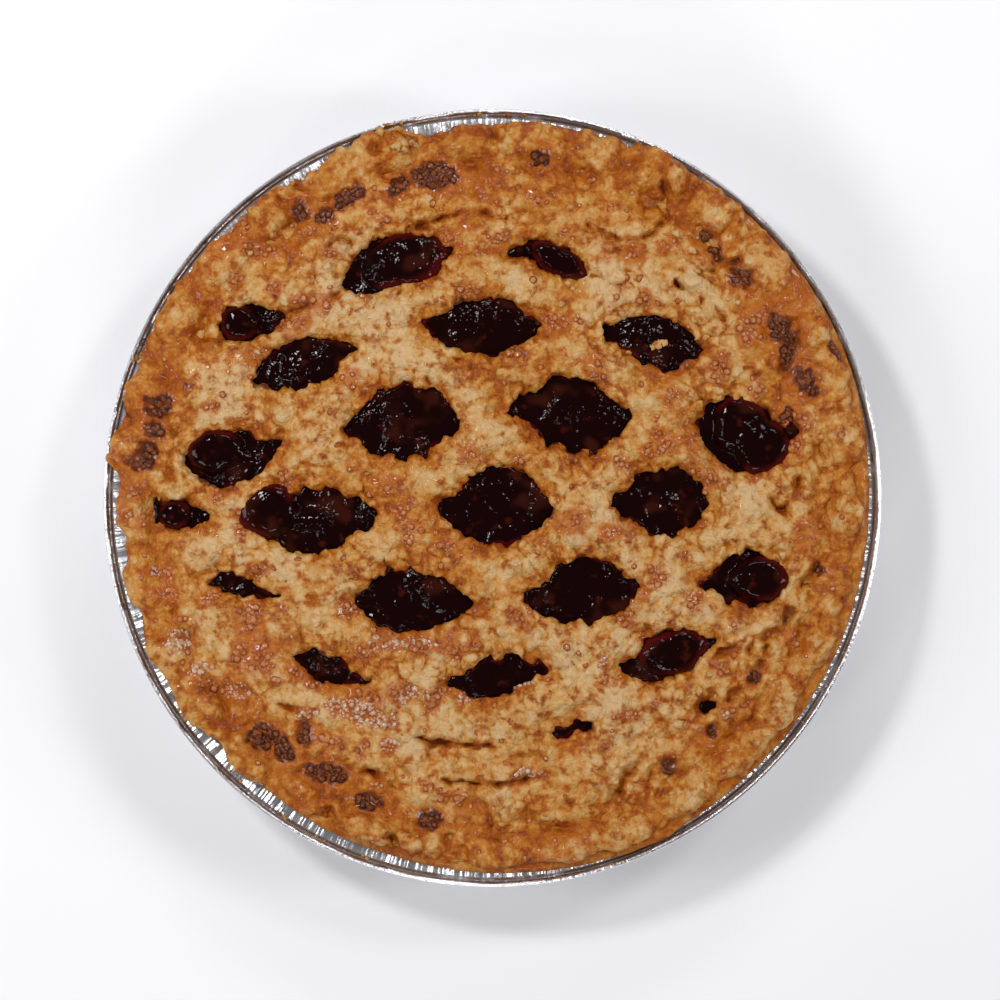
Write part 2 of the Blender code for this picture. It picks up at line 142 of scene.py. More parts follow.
# Radius and height of each ring, and how deep the pleats are there, in millimetres
FOIL_RINGS = (
    (62.0, 0.10, 0.0),
    (62.9, 0.60, 0.0),
    (64.6, 0.60, 0.0),
    (65.5, 0.10, 0.0),
    (83.2, 0.10, 0.0),
    (85.0, 0.25, 0.0),
    (86.6, 1.30, 0.10),
    (87.9, 2.90, 0.30),
    (91.4, 7.70, 0.55),
    (95.0, 12.70, 0.75),
    (98.7, 17.80, 0.90),
    (102.3, 22.80, 1.00),
    (104.8, 26.20, 1.00),
    (105.9, 27.40, 0.85),
    (107.0, 27.90, 0.65),
    (108.6, 28.10, 0.70),
    (110.2, 28.30, 0.70),
    (111.2, 28.35, 0.60),
    (111.7, 27.90, 0.30),
    (112.1, 28.15, 0.20),
    (112.4, 28.95, 0.12),
    (112.75, 29.60, 0.12),
    (113.2, 29.85, 0.12),
    (113.7, 29.60, 0.14),
    (114.0, 28.90, 0.16),
    (113.8, 28.10, 0.18),
    (113.2, 27.60, 0.16),
    (112.5, 27.75, 0.10),
)
GROOVE_RADIUS = 111.85 * MM


def mesh_points(piece):
    """The object's vertices as an array of rows."""
    flat = np.empty(len(piece.data.vertices) * 3)
    piece.data.vertices.foreach_get("co", flat)
    return flat.reshape(-1, 3)


def set_points(piece, points):
    piece.data.vertices.foreach_set("co", points.ravel())
    piece.data.update()


def add_modifier(piece, name, kind, **settings):
    """Add a modifier with its settings and apply it."""
    take(piece)
    step = piece.modifiers.new(name, kind)
    for key, value in settings.items():
        setattr(step, key, value)
    bpy.ops.object.modifier_apply(modifier=name)


bpy.ops.object.select_all(action="DESELECT")
bpy.ops.mesh.primitive_circle_add(
    vertices=PLEATS * PLEAT_VERTICES, radius=FOIL_RINGS[0][0] * MM, location=(0.0, 0.0, 0.0)
)
foil = bpy.context.object
foil.name = "foil_pan"
bpy.ops.object.mode_set(mode="EDIT")
bpy.ops.mesh.select_all(action="SELECT")
bpy.ops.transform.translate(value=(0.0, 0.0, FOIL_RINGS[0][1] * MM))
for (last_radius, last_height, _), (radius, height, _) in zip(FOIL_RINGS, FOIL_RINGS[1:]):
    bpy.ops.mesh.extrude_region_move(
        TRANSFORM_OT_translate={"value": (0.0, 0.0, (height - last_height) * MM)}
    )
    grow = radius / last_radius
    bpy.ops.transform.resize(value=(grow, grow, 1.0), center_override=(0.0, 0.0, 0.0))
bpy.ops.mesh.select_all(action="DESELECT")
bpy.ops.object.mode_set(mode="OBJECT")
for vertex in foil.data.vertices:
    vertex.select = math.hypot(vertex.co.x, vertex.co.y) < (FOIL_RINGS[0][0] + 0.1) * MM
bpy.ops.object.mode_set(mode="EDIT")
bpy.ops.mesh.extrude_region_move()
bpy.ops.transform.resize(value=(0.5, 0.5, 1.0), center_override=(0.0, 0.0, 0.0))
bpy.ops.mesh.extrude_region_move()
bpy.ops.mesh.merge(type="CENTER")
bpy.ops.mesh.select_all(action="SELECT")
bpy.ops.mesh.normals_make_consistent(inside=False)
bpy.ops.object.mode_set(mode="OBJECT")

points = mesh_points(foil)
radii = np.hypot(points[:, 0], points[:, 1])
angles = np.arctan2(points[:, 1], points[:, 0]) % math.tau
step = np.rint(angles / math.tau * PLEATS * PLEAT_VERTICES).astype(int)
step %= PLEATS * PLEAT_VERTICES
chance = np.random.default_rng(11)
depths = chance.uniform(0.05, 1.0, PLEATS) ** 1.5 * 1.2
fold = np.array((0.0, 1.0, 0.45))[step % PLEAT_VERTICES]
around = np.cos(angles * 9.0 + 1.0) + np.cos(angles * 23.0) + np.cos(angles * 41.0 + 2.0)
fold = fold * depths[step // PLEAT_VERTICES] * (0.75 + 0.2 * around)
fold = fold + chance.uniform(-0.22, 0.22, step.max() + 1)[step]
ring_radii = np.array([ring[0] for ring in FOIL_RINGS]) * MM
nearest = np.abs(radii[:, None] - ring_radii[None, :]) + np.abs(
    points[:, 2][:, None] - np.array([ring[1] for ring in FOIL_RINGS]) * MM
)
depth = np.array([ring[2] for ring in FOIL_RINGS])[nearest.argmin(axis=1)] * MM
wall = np.clip((106.0 * MM - radii) / (4.0 * MM), 0.0, 1.0)
sink = fold * depth
skew = chance.uniform(-0.40, 0.40, step.max() + 1)[step] * depth
across = skew * (radii > 106.0 * MM)
points[:, 2] -= sink * (1.0 - 0.4 * wall)
outward = sink * 0.8 * wall
points[:, 0] += outward * np.cos(angles) - across * np.sin(angles)
points[:, 1] += outward * np.sin(angles) + across * np.cos(angles)
set_points(foil, points)
add_modifier(foil, "thickness", "SOLIDIFY", thickness=FOIL_THICKNESS, offset=0.0)
take(foil)
bpy.ops.object.shade_smooth_by_angle(angle=math.radians(35))

foil_metal, tree, shader = new_material("pressed_foil")
coords = node(tree, "TexCoord")
spot = node(tree, "SeparateXYZ", {"Vector": coords.outputs["Object"]})
flat = node(tree, "CombineXYZ", {"X": spot.outputs["X"], "Y": spot.outputs["Y"]})
radius = node(tree, "VectorMath", {0: flat.outputs["Vector"]}, operation="LENGTH")
# Painted reflection and shade: a patchy brown band, not metallic, along the groove by the bead, shifted out and wider
# towards the upper right, and only where the foil is high.
towards = node(
    tree, "VectorMath", {0: flat.outputs["Vector"], 1: (0.77, 0.64, 0.0)}, operation="DOT_PRODUCT"
)
outwards = node(
    tree,
    "MapRange",
    {"Value": towards.outputs["Value"], "From Min": 0.06, "From Max": 0.10, "To Min": GROOVE_RADIUS,
     "To Max": GROOVE_RADIUS + 0.25 * MM},
)
off = node(
    tree,
    "Math",
    {0: radius.outputs["Value"], 1: outwards.outputs["Result"]},
    operation="SUBTRACT",
)
faded = node(
    tree,
    "MapRange",
    {"Value": towards.outputs["Value"], "From Min": 0.06, "From Max": 0.10, "To Min": 0.55 * MM,
     "To Max": 0.95 * MM},
)
off = node(tree, "Math", {0: off.outputs["Value"]}, operation="ABSOLUTE")
groove = node(
    tree,
    "MapRange",
    {"Value": off.outputs["Value"], "From Min": faded.outputs["Result"], "From Max": 0.15 * MM},
)
patchy = node(
    tree, "TexNoise", {"Vector": coords.outputs["Object"], "Scale": 90.0, "Detail": 4.0}
)
patch = node(
    tree, "MapRange", {"Value": patchy.outputs["Fac"], "From Min": 0.25, "From Max": 0.45}
)
painted_groove_reflection = node(
    tree, "Math", {0: groove.outputs["Result"], 1: patch.outputs["Result"]}, operation="MULTIPLY"
)
high = node(
    tree,
    "MapRange",
    {"Value": spot.outputs["Z"], "From Min": 26.0 * MM, "From Max": 28.0 * MM},
)
painted_groove_reflection = node(
    tree, "Math", {0: painted_groove_reflection.outputs["Value"], 1: high.outputs["Result"]}, operation="MULTIPLY"
)
tint = node(
    tree,
    "Mix",
    {
        0: painted_groove_reflection.outputs["Value"],
        6: (0.76, 0.76, 0.79, 1.0),
        7: (0.16, 0.075, 0.03, 1.0),
    },
    data_type="RGBA",
)
wire(tree, tint.outputs[2], shader.inputs["Base Color"])
metal = node(tree, "MapRange", {"Value": painted_groove_reflection.outputs["Value"], "To Min": 1.0, "To Max": 0.15})
wire(tree, metal.outputs["Result"], shader.inputs["Metallic"])
scuffs = node(
    tree,
    "TexNoise",
    {"Vector": coords.outputs["Object"], "Scale": 420.0, "Detail": 5.0, "Roughness": 0.65},
)
sheen = node(
    tree,
    "MapRange",
    {"Value": scuffs.outputs["Fac"], "From Min": 0.3, "From Max": 0.7, "To Min": 0.24,
     "To Max": 0.36},
)
wire(tree, sheen.outputs["Result"], shader.inputs["Roughness"])
# fine creases that run outwards like the pleats, with the angle laid out as a length
turn = node(tree, "Math", {0: spot.outputs["Y"], 1: spot.outputs["X"]}, operation="ARCTAN2")
length = node(tree, "Math", {0: turn.outputs["Value"], 1: 110.0 * MM}, operation="MULTIPLY")
reach = node(tree, "Math", {0: radius.outputs["Value"], 1: 0.12}, operation="MULTIPLY")
along = node(tree, "CombineXYZ", {"X": length.outputs["Value"], "Y": reach.outputs["Value"]})
creases = node(
    tree,
    "TexNoise",
    {"Vector": along.outputs["Vector"], "Scale": 900.0, "Detail": 2.0, "Roughness": 0.6},
)
dented = node(
    tree, "Math", {0: creases.outputs["Fac"], 1: scuffs.outputs["Fac"]}, operation="ADD"
)
bump = node(
    tree,
    "Bump",
    {"Height": dented.outputs["Value"], "Distance": 0.55 * MM, "Strength": 0.35},
)
wire(tree, bump.outputs["Normal"], shader.inputs["Normal"])
foil.data.materials.append(foil_metal)
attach(foil, "root")
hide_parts("foil_tin")


# ---- Baked pastry
# Both crusts are one dough: flour, butter and water, glazed and baked. It goes from cream
# through gold to brown, with darker specks, orange where sugar has melted into it and purple
# where cherry juice has soaked in. Painted shade makes it browner in its hollows and creases
# and purple in its deepest creases and pits; painted light makes it paler on its raised tops.
def new_group(name, inputs, outputs):
    """A shader node group with its named sockets, and its two end nodes."""
    made = bpy.data.node_groups.new(name, "ShaderNodeTree")
    for side, sockets in (("INPUT", inputs), ("OUTPUT", outputs)):
        for label, kind in sockets:
            made.interface.new_socket(label, in_out=side, socket_type="NodeSocket" + kind)
    return made, made.nodes.new("NodeGroupInput"), made.nodes.new("NodeGroupOutput")


def blend_colour(tree, share, under, over, how="MIX"):
    """A colour laid over another by a share."""
    made = node(tree, "Mix", {0: share, 6: under, 7: over}, data_type="RGBA", blend_type=how)
    return made.outputs[2]


def sums(tree, operation, first, second):
    return node(tree, "Math", {0: first, 1: second}, operation=operation).outputs["Value"]


def ranged(tree, value, low, high, to_low=0.0, to_high=1.0, kind="SMOOTHSTEP"):
    made = node(
        tree,
        "MapRange",
        {"Value": value, "From Min": low, "From Max": high, "To Min": to_low, "To Max": to_high},
        interpolation_type=kind,
    )
    return made.outputs["Result"]


def noise(tree, vector, scale, detail=2.0, roughness=0.5, kind="TexNoise", output="Fac"):
    made = node(tree, kind, {"Vector": vector, "Scale": scale})
    if kind == "TexNoise":
        made.inputs["Detail"].default_value = detail
        made.inputs["Roughness"].default_value = roughness
    return made.outputs[output]


PASTRY_TONES = (
    (0.00, (0.570, 0.370, 0.180)),
    (0.22, (0.530, 0.285, 0.090)),
    (0.45, (0.450, 0.170, 0.022)),
    (0.68, (0.340, 0.080, 0.003)),
    (1.00, (0.150, 0.026, 0.002)),
)
pastry_group, ends_in, ends_out = new_group(
    "baked_pastry",
    (
        ("Place", "Vector"),
        ("Browning", "Float"),
        ("Relief", "Float"),
        ("Glaze", "Float"),
        ("Sugar", "Float"),
        ("Juice", "Float"),
        ("Burnt", "Float"),
    ),
    (("Colour", "Color"), ("Roughness", "Float"), ("Shine", "Float"), ("Height", "Float")),
)
tree = pastry_group


def above(value, middle, by):
    """How far a value is over its middle, scaled."""
    over = node(tree, "Math", {0: value, 1: middle}, operation="SUBTRACT").outputs["Value"]
    return node(tree, "Math", {0: over, 1: by}, operation="MULTIPLY").outputs["Value"]


def folded(value, by):
    """How far a noise is from its middle: rounded humps with sharp creases between them."""
    off = node(tree, "Math", {0: value, 1: 0.5}, operation="SUBTRACT").outputs["Value"]
    return above(node(tree, "Math", {0: off}, operation="ABSOLUTE").outputs["Value"], 0.0, by)


def total(*parts):
    """The sum of several values."""
    result = parts[0]
    for part in parts[1:]:
        result = sums(tree, "ADD", result, part)
    return result


place = ends_in.outputs["Place"]
wander = node(tree, "TexNoise", {"Vector": place, "Scale": 350.0, "Detail": 2.0})
stray = node(
    tree, "VectorMath", {0: wander.outputs["Color"], "Scale": 1.6 * MM}, operation="SCALE"
)
strayed = node(tree, "VectorMath", {0: place, 1: stray.outputs["Vector"]}, operation="ADD")
strayed = strayed.outputs["Vector"]
mottle = noise(tree, place, 200.0, 3.0, 0.55)
flakes = noise(tree, strayed, 460.0, 2.0, 0.50)
grains = noise(tree, place, 1150.0, 1.0, 0.5)
layers = noise(tree, strayed, 300.0, 3.0, 0.55)
granule = noise(tree, strayed, 820.0, kind="TexVoronoi", output="Distance")
freckle = noise(tree, strayed, 330.0, kind="TexVoronoi", output="Distance")
thick = noise(tree, place, 95.0, 3.0, 0.55)

humps = folded(layers, 2.4)
# Painted shade and light: the tone turns browner in the creases between the humps and where the relief sinks, partly
# glaze pooled in hollows and partly painted shade, and paler on raised tops.
tone = total(
    ends_in.outputs["Browning"],
    above(mottle, 0.5, 0.90),
    above(flakes, 0.5, 0.6),
    above(grains, 0.5, 0.25),
    above(humps, 0.17, -0.42),
    above(ends_in.outputs["Relief"], 0.0, -0.20),
)
ramp = node(tree, "ValToRGB", {"Fac": tone})
while len(ramp.color_ramp.elements) < len(PASTRY_TONES):
    ramp.color_ramp.elements.new(0.5)
for stop, (at, colour) in zip(ramp.color_ramp.elements, PASTRY_TONES):
    stop.position = at
    stop.color = (*colour, 1.0)
colour = ramp.outputs["Color"]
specks = sums(tree, "MULTIPLY", ranged(tree, freckle, 0.17, 0.08), ranged(tree, thick, 0.46, 0.60))
colour = blend_colour(tree, above(specks, 0.0, 0.25), colour, (0.30, 0.070, 0.012, 1.0))
melt = total(ends_in.outputs["Glaze"], above(mottle, 0.55, 1.6), above(flakes, 0.5, 1.0))
melt = ranged(tree, melt, 0.15, 0.95)
colour = blend_colour(tree, above(melt, 0.0, 0.82), colour, (0.395, 0.098, 0.006, 1.0))
strewed = total(ends_in.outputs["Sugar"], above(mottle, 0.5, 1.8))
strewed = ranged(tree, strewed, 0.30, 0.80)
ringed = ranged(tree, granule, 0.24, 0.46)
grain_tone = blend_colour(tree, ringed, (0.66, 0.40, 0.25, 1.0), (0.33, 0.070, 0.010, 1.0))
colour = blend_colour(tree, above(strewed, 0.0, 0.80), colour, grain_tone)
# The juice mask carries juice soaked in by the windows and, on the top crust, painted shade in deep creases and pits.
soak_and_shade = total(ends_in.outputs["Juice"], above(flakes, 0.5, 1.6))
soak_and_shade = ranged(tree, soak_and_shade, 0.35, 0.95)
colour = blend_colour(tree, above(soak_and_shade, 0.0, 0.85), colour, (0.075, 0.022, 0.020, 1.0))
char = total(ends_in.outputs["Burnt"], above(flakes, 0.5, 1.2), above(mottle, 0.5, 1.6))
singed = ranged(tree, char, 0.0, 0.40)
colour = blend_colour(tree, above(singed, 0.0, 0.85), colour, (0.300, 0.062, 0.008, 1.0))
char = ranged(tree, char, 0.25, 0.70)
syrup = blend_colour(
    tree, ranged(tree, thick, 0.42, 0.58), (0.155, 0.034, 0.004, 1.0), (0.055, 0.010, 0.002, 1.0)
)
colour = blend_colour(tree, above(char, 0.0, 0.92), colour, syrup)
wire(tree, colour, ends_out.inputs["Colour"])
wet = sums(tree, "MAXIMUM", sums(tree, "MAXIMUM", melt, char), strewed)
dull = total(ranged(tree, mottle, 0.3, 0.7, 0.40, 0.28), above(wet, 0.0, -0.10))
wire(tree, dull, ends_out.inputs["Roughness"])
sugary = sums(tree, "MAXIMUM", melt, strewed)
wire(tree, total(above(sugary, 0.0, 0.24), above(char, 0.0, 0.08), above(flakes, 0.42, 0.5)), ends_out.inputs["Shine"])
round_top = sums(tree, "MULTIPLY", ranged(tree, granule, 0.50, 0.05), strewed)
height = total(
    above(humps, 0.0, 0.50),
    above(mottle, 0.5, 0.6),
    above(flakes, 0.5, 0.50),
    above(grains, 0.5, 0.14),
)
height = sums(tree, "MULTIPLY", height, ranged(tree, char, 0.0, 1.0, 1.0, 0.45))
height = total(height, above(round_top, 0.0, 0.26))
wire(tree, height, ends_out.inputs["Height"])


def pastry_material(name, strength):
    """Baked pastry that reads the mesh's own browning, relief, glaze and juice attributes."""
    made, tree, shader = new_material(name)
    group = tree.nodes.new("ShaderNodeGroup")
    group.node_tree = pastry_group
    coords = node(tree, "TexCoord")
    wire(tree, coords.outputs["Object"], group.inputs["Place"])
    for label in ("Browning", "Relief", "Glaze", "Sugar", "Juice", "Burnt"):
        source = node(tree, "Attribute", attribute_name=label.lower())
        wire(tree, source.outputs["Fac"], group.inputs[label])
    wire(tree, group.outputs["Colour"], shader.inputs["Base Color"])
    wire(tree, group.outputs["Roughness"], shader.inputs["Roughness"])
    wire(tree, group.outputs["Shine"], shader.inputs["Coat Weight"])
    shader.inputs["Coat Roughness"].default_value = 0.07
    bump = node(
        tree,
        "Bump",
        {"Height": group.outputs["Height"], "Distance": 1.5 * MM, "Strength": strength},
    )
    wire(tree, bump.outputs["Normal"], shader.inputs["Normal"])
    shader.inputs["Specular IOR Level"].default_value = 0.14
    return made


def paint(piece, name, values):
    """Store one number for each vertex, where the material reads it."""
    layer = piece.data.attributes.new(name, "FLOAT", "POINT")
    layer.data.foreach_set("value", np.asarray(values, dtype=np.float32))


def rolling(x, y, size, seed):
    """Smooth uneven rise and fall, about -1 to 1, with waves of one size across the pie."""
    turns = np.random.default_rng(seed).uniform(0.0, math.tau, (64, 64))
    u, v = x / size + 640.0, y / size + 640.0
    i, j = np.floor(u).astype(int), np.floor(v).astype(int)
    fu, fv = u - i, v - j

    def corner(di, dj):
        turn = turns[(i + di) % 64, (j + dj) % 64]
        return np.cos(turn) * (fu - di) + np.sin(turn) * (fv - dj)

    su, sv = fu * fu * (3.0 - 2.0 * fu), fv * fv * (3.0 - 2.0 * fv)
    near = corner(0, 0) * (1.0 - su) + corner(1, 0) * su
    far = corner(0, 1) * (1.0 - su) + corner(1, 1) * su
    return 1.6 * (near * (1.0 - sv) + far * sv)


def smooth_step(value, low, high):
    share = np.clip((value - low) / (high - low), 0.0, 1.0)
    return share * share * (3.0 - 2.0 * share)


# ---- Bottom crust
# The pastry shell that lines the tin. Rolled dough was laid in the tin, turned out over the
# flange and trimmed, so its edge is smooth and well browned where it shows.
SHELL_VERTICES = 420
# Radius and height of each ring of the closed shell, from under the top crust outwards, round
# the edge and back down the outside of the wall, in millimetres
SHELL_RINGS = (
    (100.0, 29.6),
    (102.6, 30.6),
    (104.4, 31.35),
    (105.8, 31.55),
    (107.0, 31.50),
    (108.0, 31.30),
    (108.8, 30.90),
    (109.35, 30.35),
    (109.6, 29.70),
    (109.4, 29.15),
    (108.6, 28.85),
    (107.4, 28.85),
    (106.2, 28.55),
    (104.9, 27.45),
    (101.6, 22.90),
    (95.0, 13.80),
    (88.0, 4.20),
    (86.4, 2.20),
    (84.3, 0.75),
    (50.0, 0.75),
)
SHELL_INNER = ((50.0, 3.55), (83.0, 3.55), (84.6, 4.60), (92.6, 15.60), (98.6, 24.0))

bpy.ops.object.select_all(action="DESELECT")
bpy.ops.mesh.primitive_circle_add(
    vertices=SHELL_VERTICES, radius=SHELL_RINGS[0][0] * MM, location=(0.0, 0.0, 0.0)
)
shell = bpy.context.object
shell.name = "pastry_shell"
bpy.ops.object.mode_set(mode="EDIT")
bpy.ops.mesh.select_all(action="SELECT")
bpy.ops.transform.translate(value=(0.0, 0.0, SHELL_RINGS[0][1] * MM))
rings = SHELL_RINGS + ((0.0, 0.75), (0.0, 3.55)) + SHELL_INNER
for (last_radius, last_height), (radius, height) in zip(SHELL_RINGS, SHELL_RINGS[1:]):
    bpy.ops.mesh.extrude_region_move(
        TRANSFORM_OT_translate={"value": (0.0, 0.0, (height - last_height) * MM)}
    )
    grow = radius / last_radius
    bpy.ops.transform.resize(value=(grow, grow, 1.0), center_override=(0.0, 0.0, 0.0))
bpy.ops.mesh.extrude_region_move()
bpy.ops.mesh.merge(type="CENTER")
bpy.ops.mesh.select_all(action="DESELECT")
bpy.ops.object.mode_set(mode="OBJECT")
first = (SHELL_RINGS[0][0] * MM, SHELL_RINGS[0][1] * MM)
for vertex in shell.data.vertices:
    off = math.hypot(vertex.co.x, vertex.co.y) - first[0]
    vertex.select = abs(off) < 0.01 * MM and abs(vertex.co.z - first[1]) < 0.01 * MM
bpy.ops.object.mode_set(mode="EDIT")
inward = (SHELL_RINGS[0],) + SHELL_INNER[::-1]
for (last_radius, last_height), (radius, height) in zip(inward, inward[1:]):
    bpy.ops.mesh.extrude_region_move(
        TRANSFORM_OT_translate={"value": (0.0, 0.0, (height - last_height) * MM)}
    )
    grow = radius / last_radius
    bpy.ops.transform.resize(value=(grow, grow, 1.0), center_override=(0.0, 0.0, 0.0))
bpy.ops.mesh.extrude_region_move()
bpy.ops.mesh.merge(type="CENTER")
bpy.ops.mesh.select_all(action="SELECT")
bpy.ops.mesh.normals_make_consistent(inside=False)
bpy.ops.object.mode_set(mode="OBJECT")

# How far out the pastry reaches over the flange: angle in degrees and radius in millimetres.
# It juts out where the dough was left long, and falls short where it was torn.
EDGE = (
    (0, 110.2), (15, 111.1), (30, 112.0), (45, 112.9), (58, 113.5), (67.5, 113.6), (69, 111.3),
    (80, 111.2), (86, 110.7), (90, 110.1), (95, 109.6), (97.5, 108.5), (100, 109.2),
    (103, 110.2), (104.5, 112.2), (114, 112.2), (116, 109.4), (120.5, 108.6), (122.5, 110.6),
    (130, 111.0), (138, 110.0), (141, 111.8), (146, 112.0), (149, 110.9), (155, 112.2),
    (160.5, 110.6), (165, 112.0), (169, 111.0), (171, 112.5), (175, 112.2), (177, 109.9),
    (183, 109.6), (187, 108.6), (193, 110.2), (200, 108.7), (205, 109.7), (212, 109.4),
    (218, 109.2), (222, 107.9), (226, 109.0), (235, 108.2), (243, 108.6), (252, 108.8),
    (262, 109.3), (270, 109.9), (285, 110.7), (291, 111.3), (298, 111.8), (301, 110.8),
    (315, 110.5), (330, 110.4), (345, 110.4), (360, 110.2),
)
# How much of the bottom crust's edge shows outside the top crust's: angle and width
BAND = ((0, 2.6), (15, 1.8), (30, 1.0), (55, 0.9), (70, 0.0), (232, 0.0), (242, 2.2), (270, 2.6), (360, 2.6))


def from_table(angles, table):
    """Values of a table of (degrees, value) pairs at each angle in radians."""
    return np.interp(np.degrees(angles) % 360.0, *np.array(table, dtype=float).T)


def reach_out(points, start, goal):
    """Stretch the rim outside a radius, so that its outermost points come to the goal."""
    radii = np.hypot(points[:, 0], points[:, 1])
    angles = np.arctan2(points[:, 1], points[:, 0])
    slot = np.floor(np.degrees(angles) % 360.0).astype(int) % 360
    outermost = np.zeros(360)
    np.maximum.at(outermost, slot, radii)
    spread = np.concatenate([outermost[-3:], outermost, outermost[:3]])
    spread = np.convolve(spread, np.full(7, 1.0 / 7.0), mode="valid")
    now = np.interp(np.degrees(angles) % 360.0, np.arange(360) + 0.5, spread, period=360.0)
    push = (goal - now) * smooth_step(radii, start, now)
    points[:, 0] += push * np.cos(angles)
    points[:, 1] += push * np.sin(angles)


points = mesh_points(shell)
radii = np.hypot(points[:, 0], points[:, 1])
angles = np.arctan2(points[:, 1], points[:, 0])
hidden = 1.6 * smooth_step(2.0 - from_table(angles, BAND), 0.8, 2.0)
waver = 0.20 * rolling(angles * 109.6, points[:, 2] / MM, 4.0, 4)
goal = np.minimum(from_table(angles, EDGE), 111.9) - hidden + waver
over = points[:, 2] > 28.0 * MM
outer = points[over]
reach_out(outer, 103.0 * MM, goal[over] * MM)
points[over] = outer
radii = np.hypot(points[:, 0], points[:, 1])
showing = smooth_step(radii, 101.0 * MM, 106.0 * MM) * smooth_step(points[:, 2], 0.027, 0.029)
points[:, 2] += 0.4 * MM * smooth_step(radii, 110.4 * MM, 111.4 * MM)
lift = rolling(points[:, 0], points[:, 1], 6.0 * MM, 5) * 0.22
lift += rolling(points[:, 0], points[:, 1], 2.4 * MM, 6) * 0.10
upper = points[:, 2] > 30.0 * MM
points[:, 2] += lift * MM * showing * upper
set_points(shell, points)
take(shell)
bpy.ops.object.shade_smooth()
patches = 0.10 * rolling(points[:, 0], points[:, 1], 9.0 * MM, 7)
patches += 0.12 * rolling(points[:, 0], points[:, 1], 3.5 * MM, 8)
paint(shell, "browning", 0.54 + patches)
# The relief also paints shade: the pastry's colour is browner in hollows and paler on tops.
paint(shell, "relief", lift * 2.0)
line = from_table(angles, EDGE) - from_table(angles, BAND)
paint(shell, "glaze", smooth_step(radii / MM - line, 1.3, 0.0) * 0.7 * upper + 0.12)
for name in ("sugar", "juice", "burnt"):
    paint(shell, name, np.zeros(len(radii)))
shell.data.materials.append(pastry_material("bottom_crust_pastry", 0.70))
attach(shell, "root")
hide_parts("bottom_crust")


# ---- Top crust
# One rolled sheet of dough, cut with rows of small-toothed diamond windows, laid over the
# filling and crimped down by thumb all round. It puffed up between the windows as it baked.
CRUST_VOXEL = 0.686 * MM
CRIMPS = 33
CRIMP_PITCH = math.tau / CRIMPS
CRIMP_PHASE = math.radians(8.0)
FACE_HEIGHTS = ((0, 37.0), (24, 36.7), (46, 36.0), (66, 35.1), (82, 34.2), (96, 33.8),
                (102.8, 34.6), (107.3, 33.2))
# Folds and slits in the dough: width and depth, then points along it, in millimetres
CREASES = (
    (0.7, 1.6, (-62, 53), (-55, 55.6), (-47, 59), (-43, 61.2)),
    (0.8, 2.0, (-47.6, 72.3), (-45.5, 75.2), (-41.4, 74.9)),
    (0.7, 2.0, (-25.6, 77.6), (-18.3, 80.2), (-12.5, 82.3), (-4.5, 82.6), (3.7, 81)),
    (1.1, 1.3, (-57, 85.5), (-58, 80)),
    (1.3, 1.2, (-34, 100), (-26.8, 103)),
    (0.9, 2.2, (44.3, 76.1), (49, 79.3), (51.4, 82.5), (50.5, 85.5), (49.6, 89.9)),
    (0.9, 1.6, (27.7, 79.3), (32.9, 76.1), (40.5, 75.2), (43.8, 75.5)),
    (1.3, 2.4, (53.6, 63.4), (54.6, 62.3)),
    (0.8, 1.1, (54.6, 62.3), (58.4, 59.4), (61.6, 56.8)),
    (0.7, 1.0, (51.1, 63.5), (48.5, 59)),
    (0.9, 1.6, (72.1, 69.4), (66.9, 67.9), (60.4, 65.6)),
    (0.5, 1.1, (28.5, 65.3), (32.3, 63.2), (37, 62)),
    (1.4, 1.2, (66, 55), (66.8, 52.5)),
    (1.0, 2.0, (60.7, 78.7), (64, 74), (66.6, 70)),
    (1.6, 1.7, (87.1, 50.6), (87, 42.7), (85.5, 36)),
    (1.5, 1.5, (65.4, -45.4), (73.3, -44.2), (77.4, -41.3), (83.9, -38.9), (86.2, -34)),
    (1.8, 1.6, (86.2, -34), (86.8, -28.7), (94.1, -20.8)),
    (1.5, 1.8, (80, -44.2), (78, -49.5), (76.8, -52.7)),
    (1.5, 2.6, (60.6, -60.2), (62.2, -61)),
    (1.1, 1.8, (64, -68.2), (65, -66)),
    (1.7, 2.0, (51.4, -77.5), (51.4, -79.3)),
    (1.0, 1.7, (38.2, -79.3), (39.5, -78)),
    (1.2, 1.3, (34.7, -89.5), (38.2, -82), (42.9, -77.3)),
    (1.2, 1.1, (75.4, -54.8), (69.5, -56.8), (68, -60)),
    (0.7, 2.2, (-23.6, -69.7), (-17.7, -71.4), (-10.4, -71.4), (-4, -72.9), (2, -72)),
    (0.7, 1.9, (-16.2, -81.4), (-12.4, -82.8), (-7.2, -82.8), (0, -84), (15.4, -81)),
    (1.1, 2.3, (-37, -78.7), (-33, -80.8)),
    (0.8, 1.5, (-62.5, -60.3), (-57.5, -61)),
    (1.2, 1.9, (-29.7, -98.6), (-26.5, -102.3), (-22.4, -103.9)),
    (1.7, 1.8, (-12.4, -100.1), (-9.2, -102.7)),
    (1.3, 1.5, (-49, -92.8), (-47, -91.6)),
    (2.0, 2.4, (82.4, -2.0), (83.6, -3.6)),
    (1.0, 1.3, (89, 5), (89.2, 1)),
    (0.6, 0.8, (-98, 3.5), (-93.5, 8), (-92.8, 2)),
    (0.5, 0.6, (-59.5, 25), (-56, 20)),
)
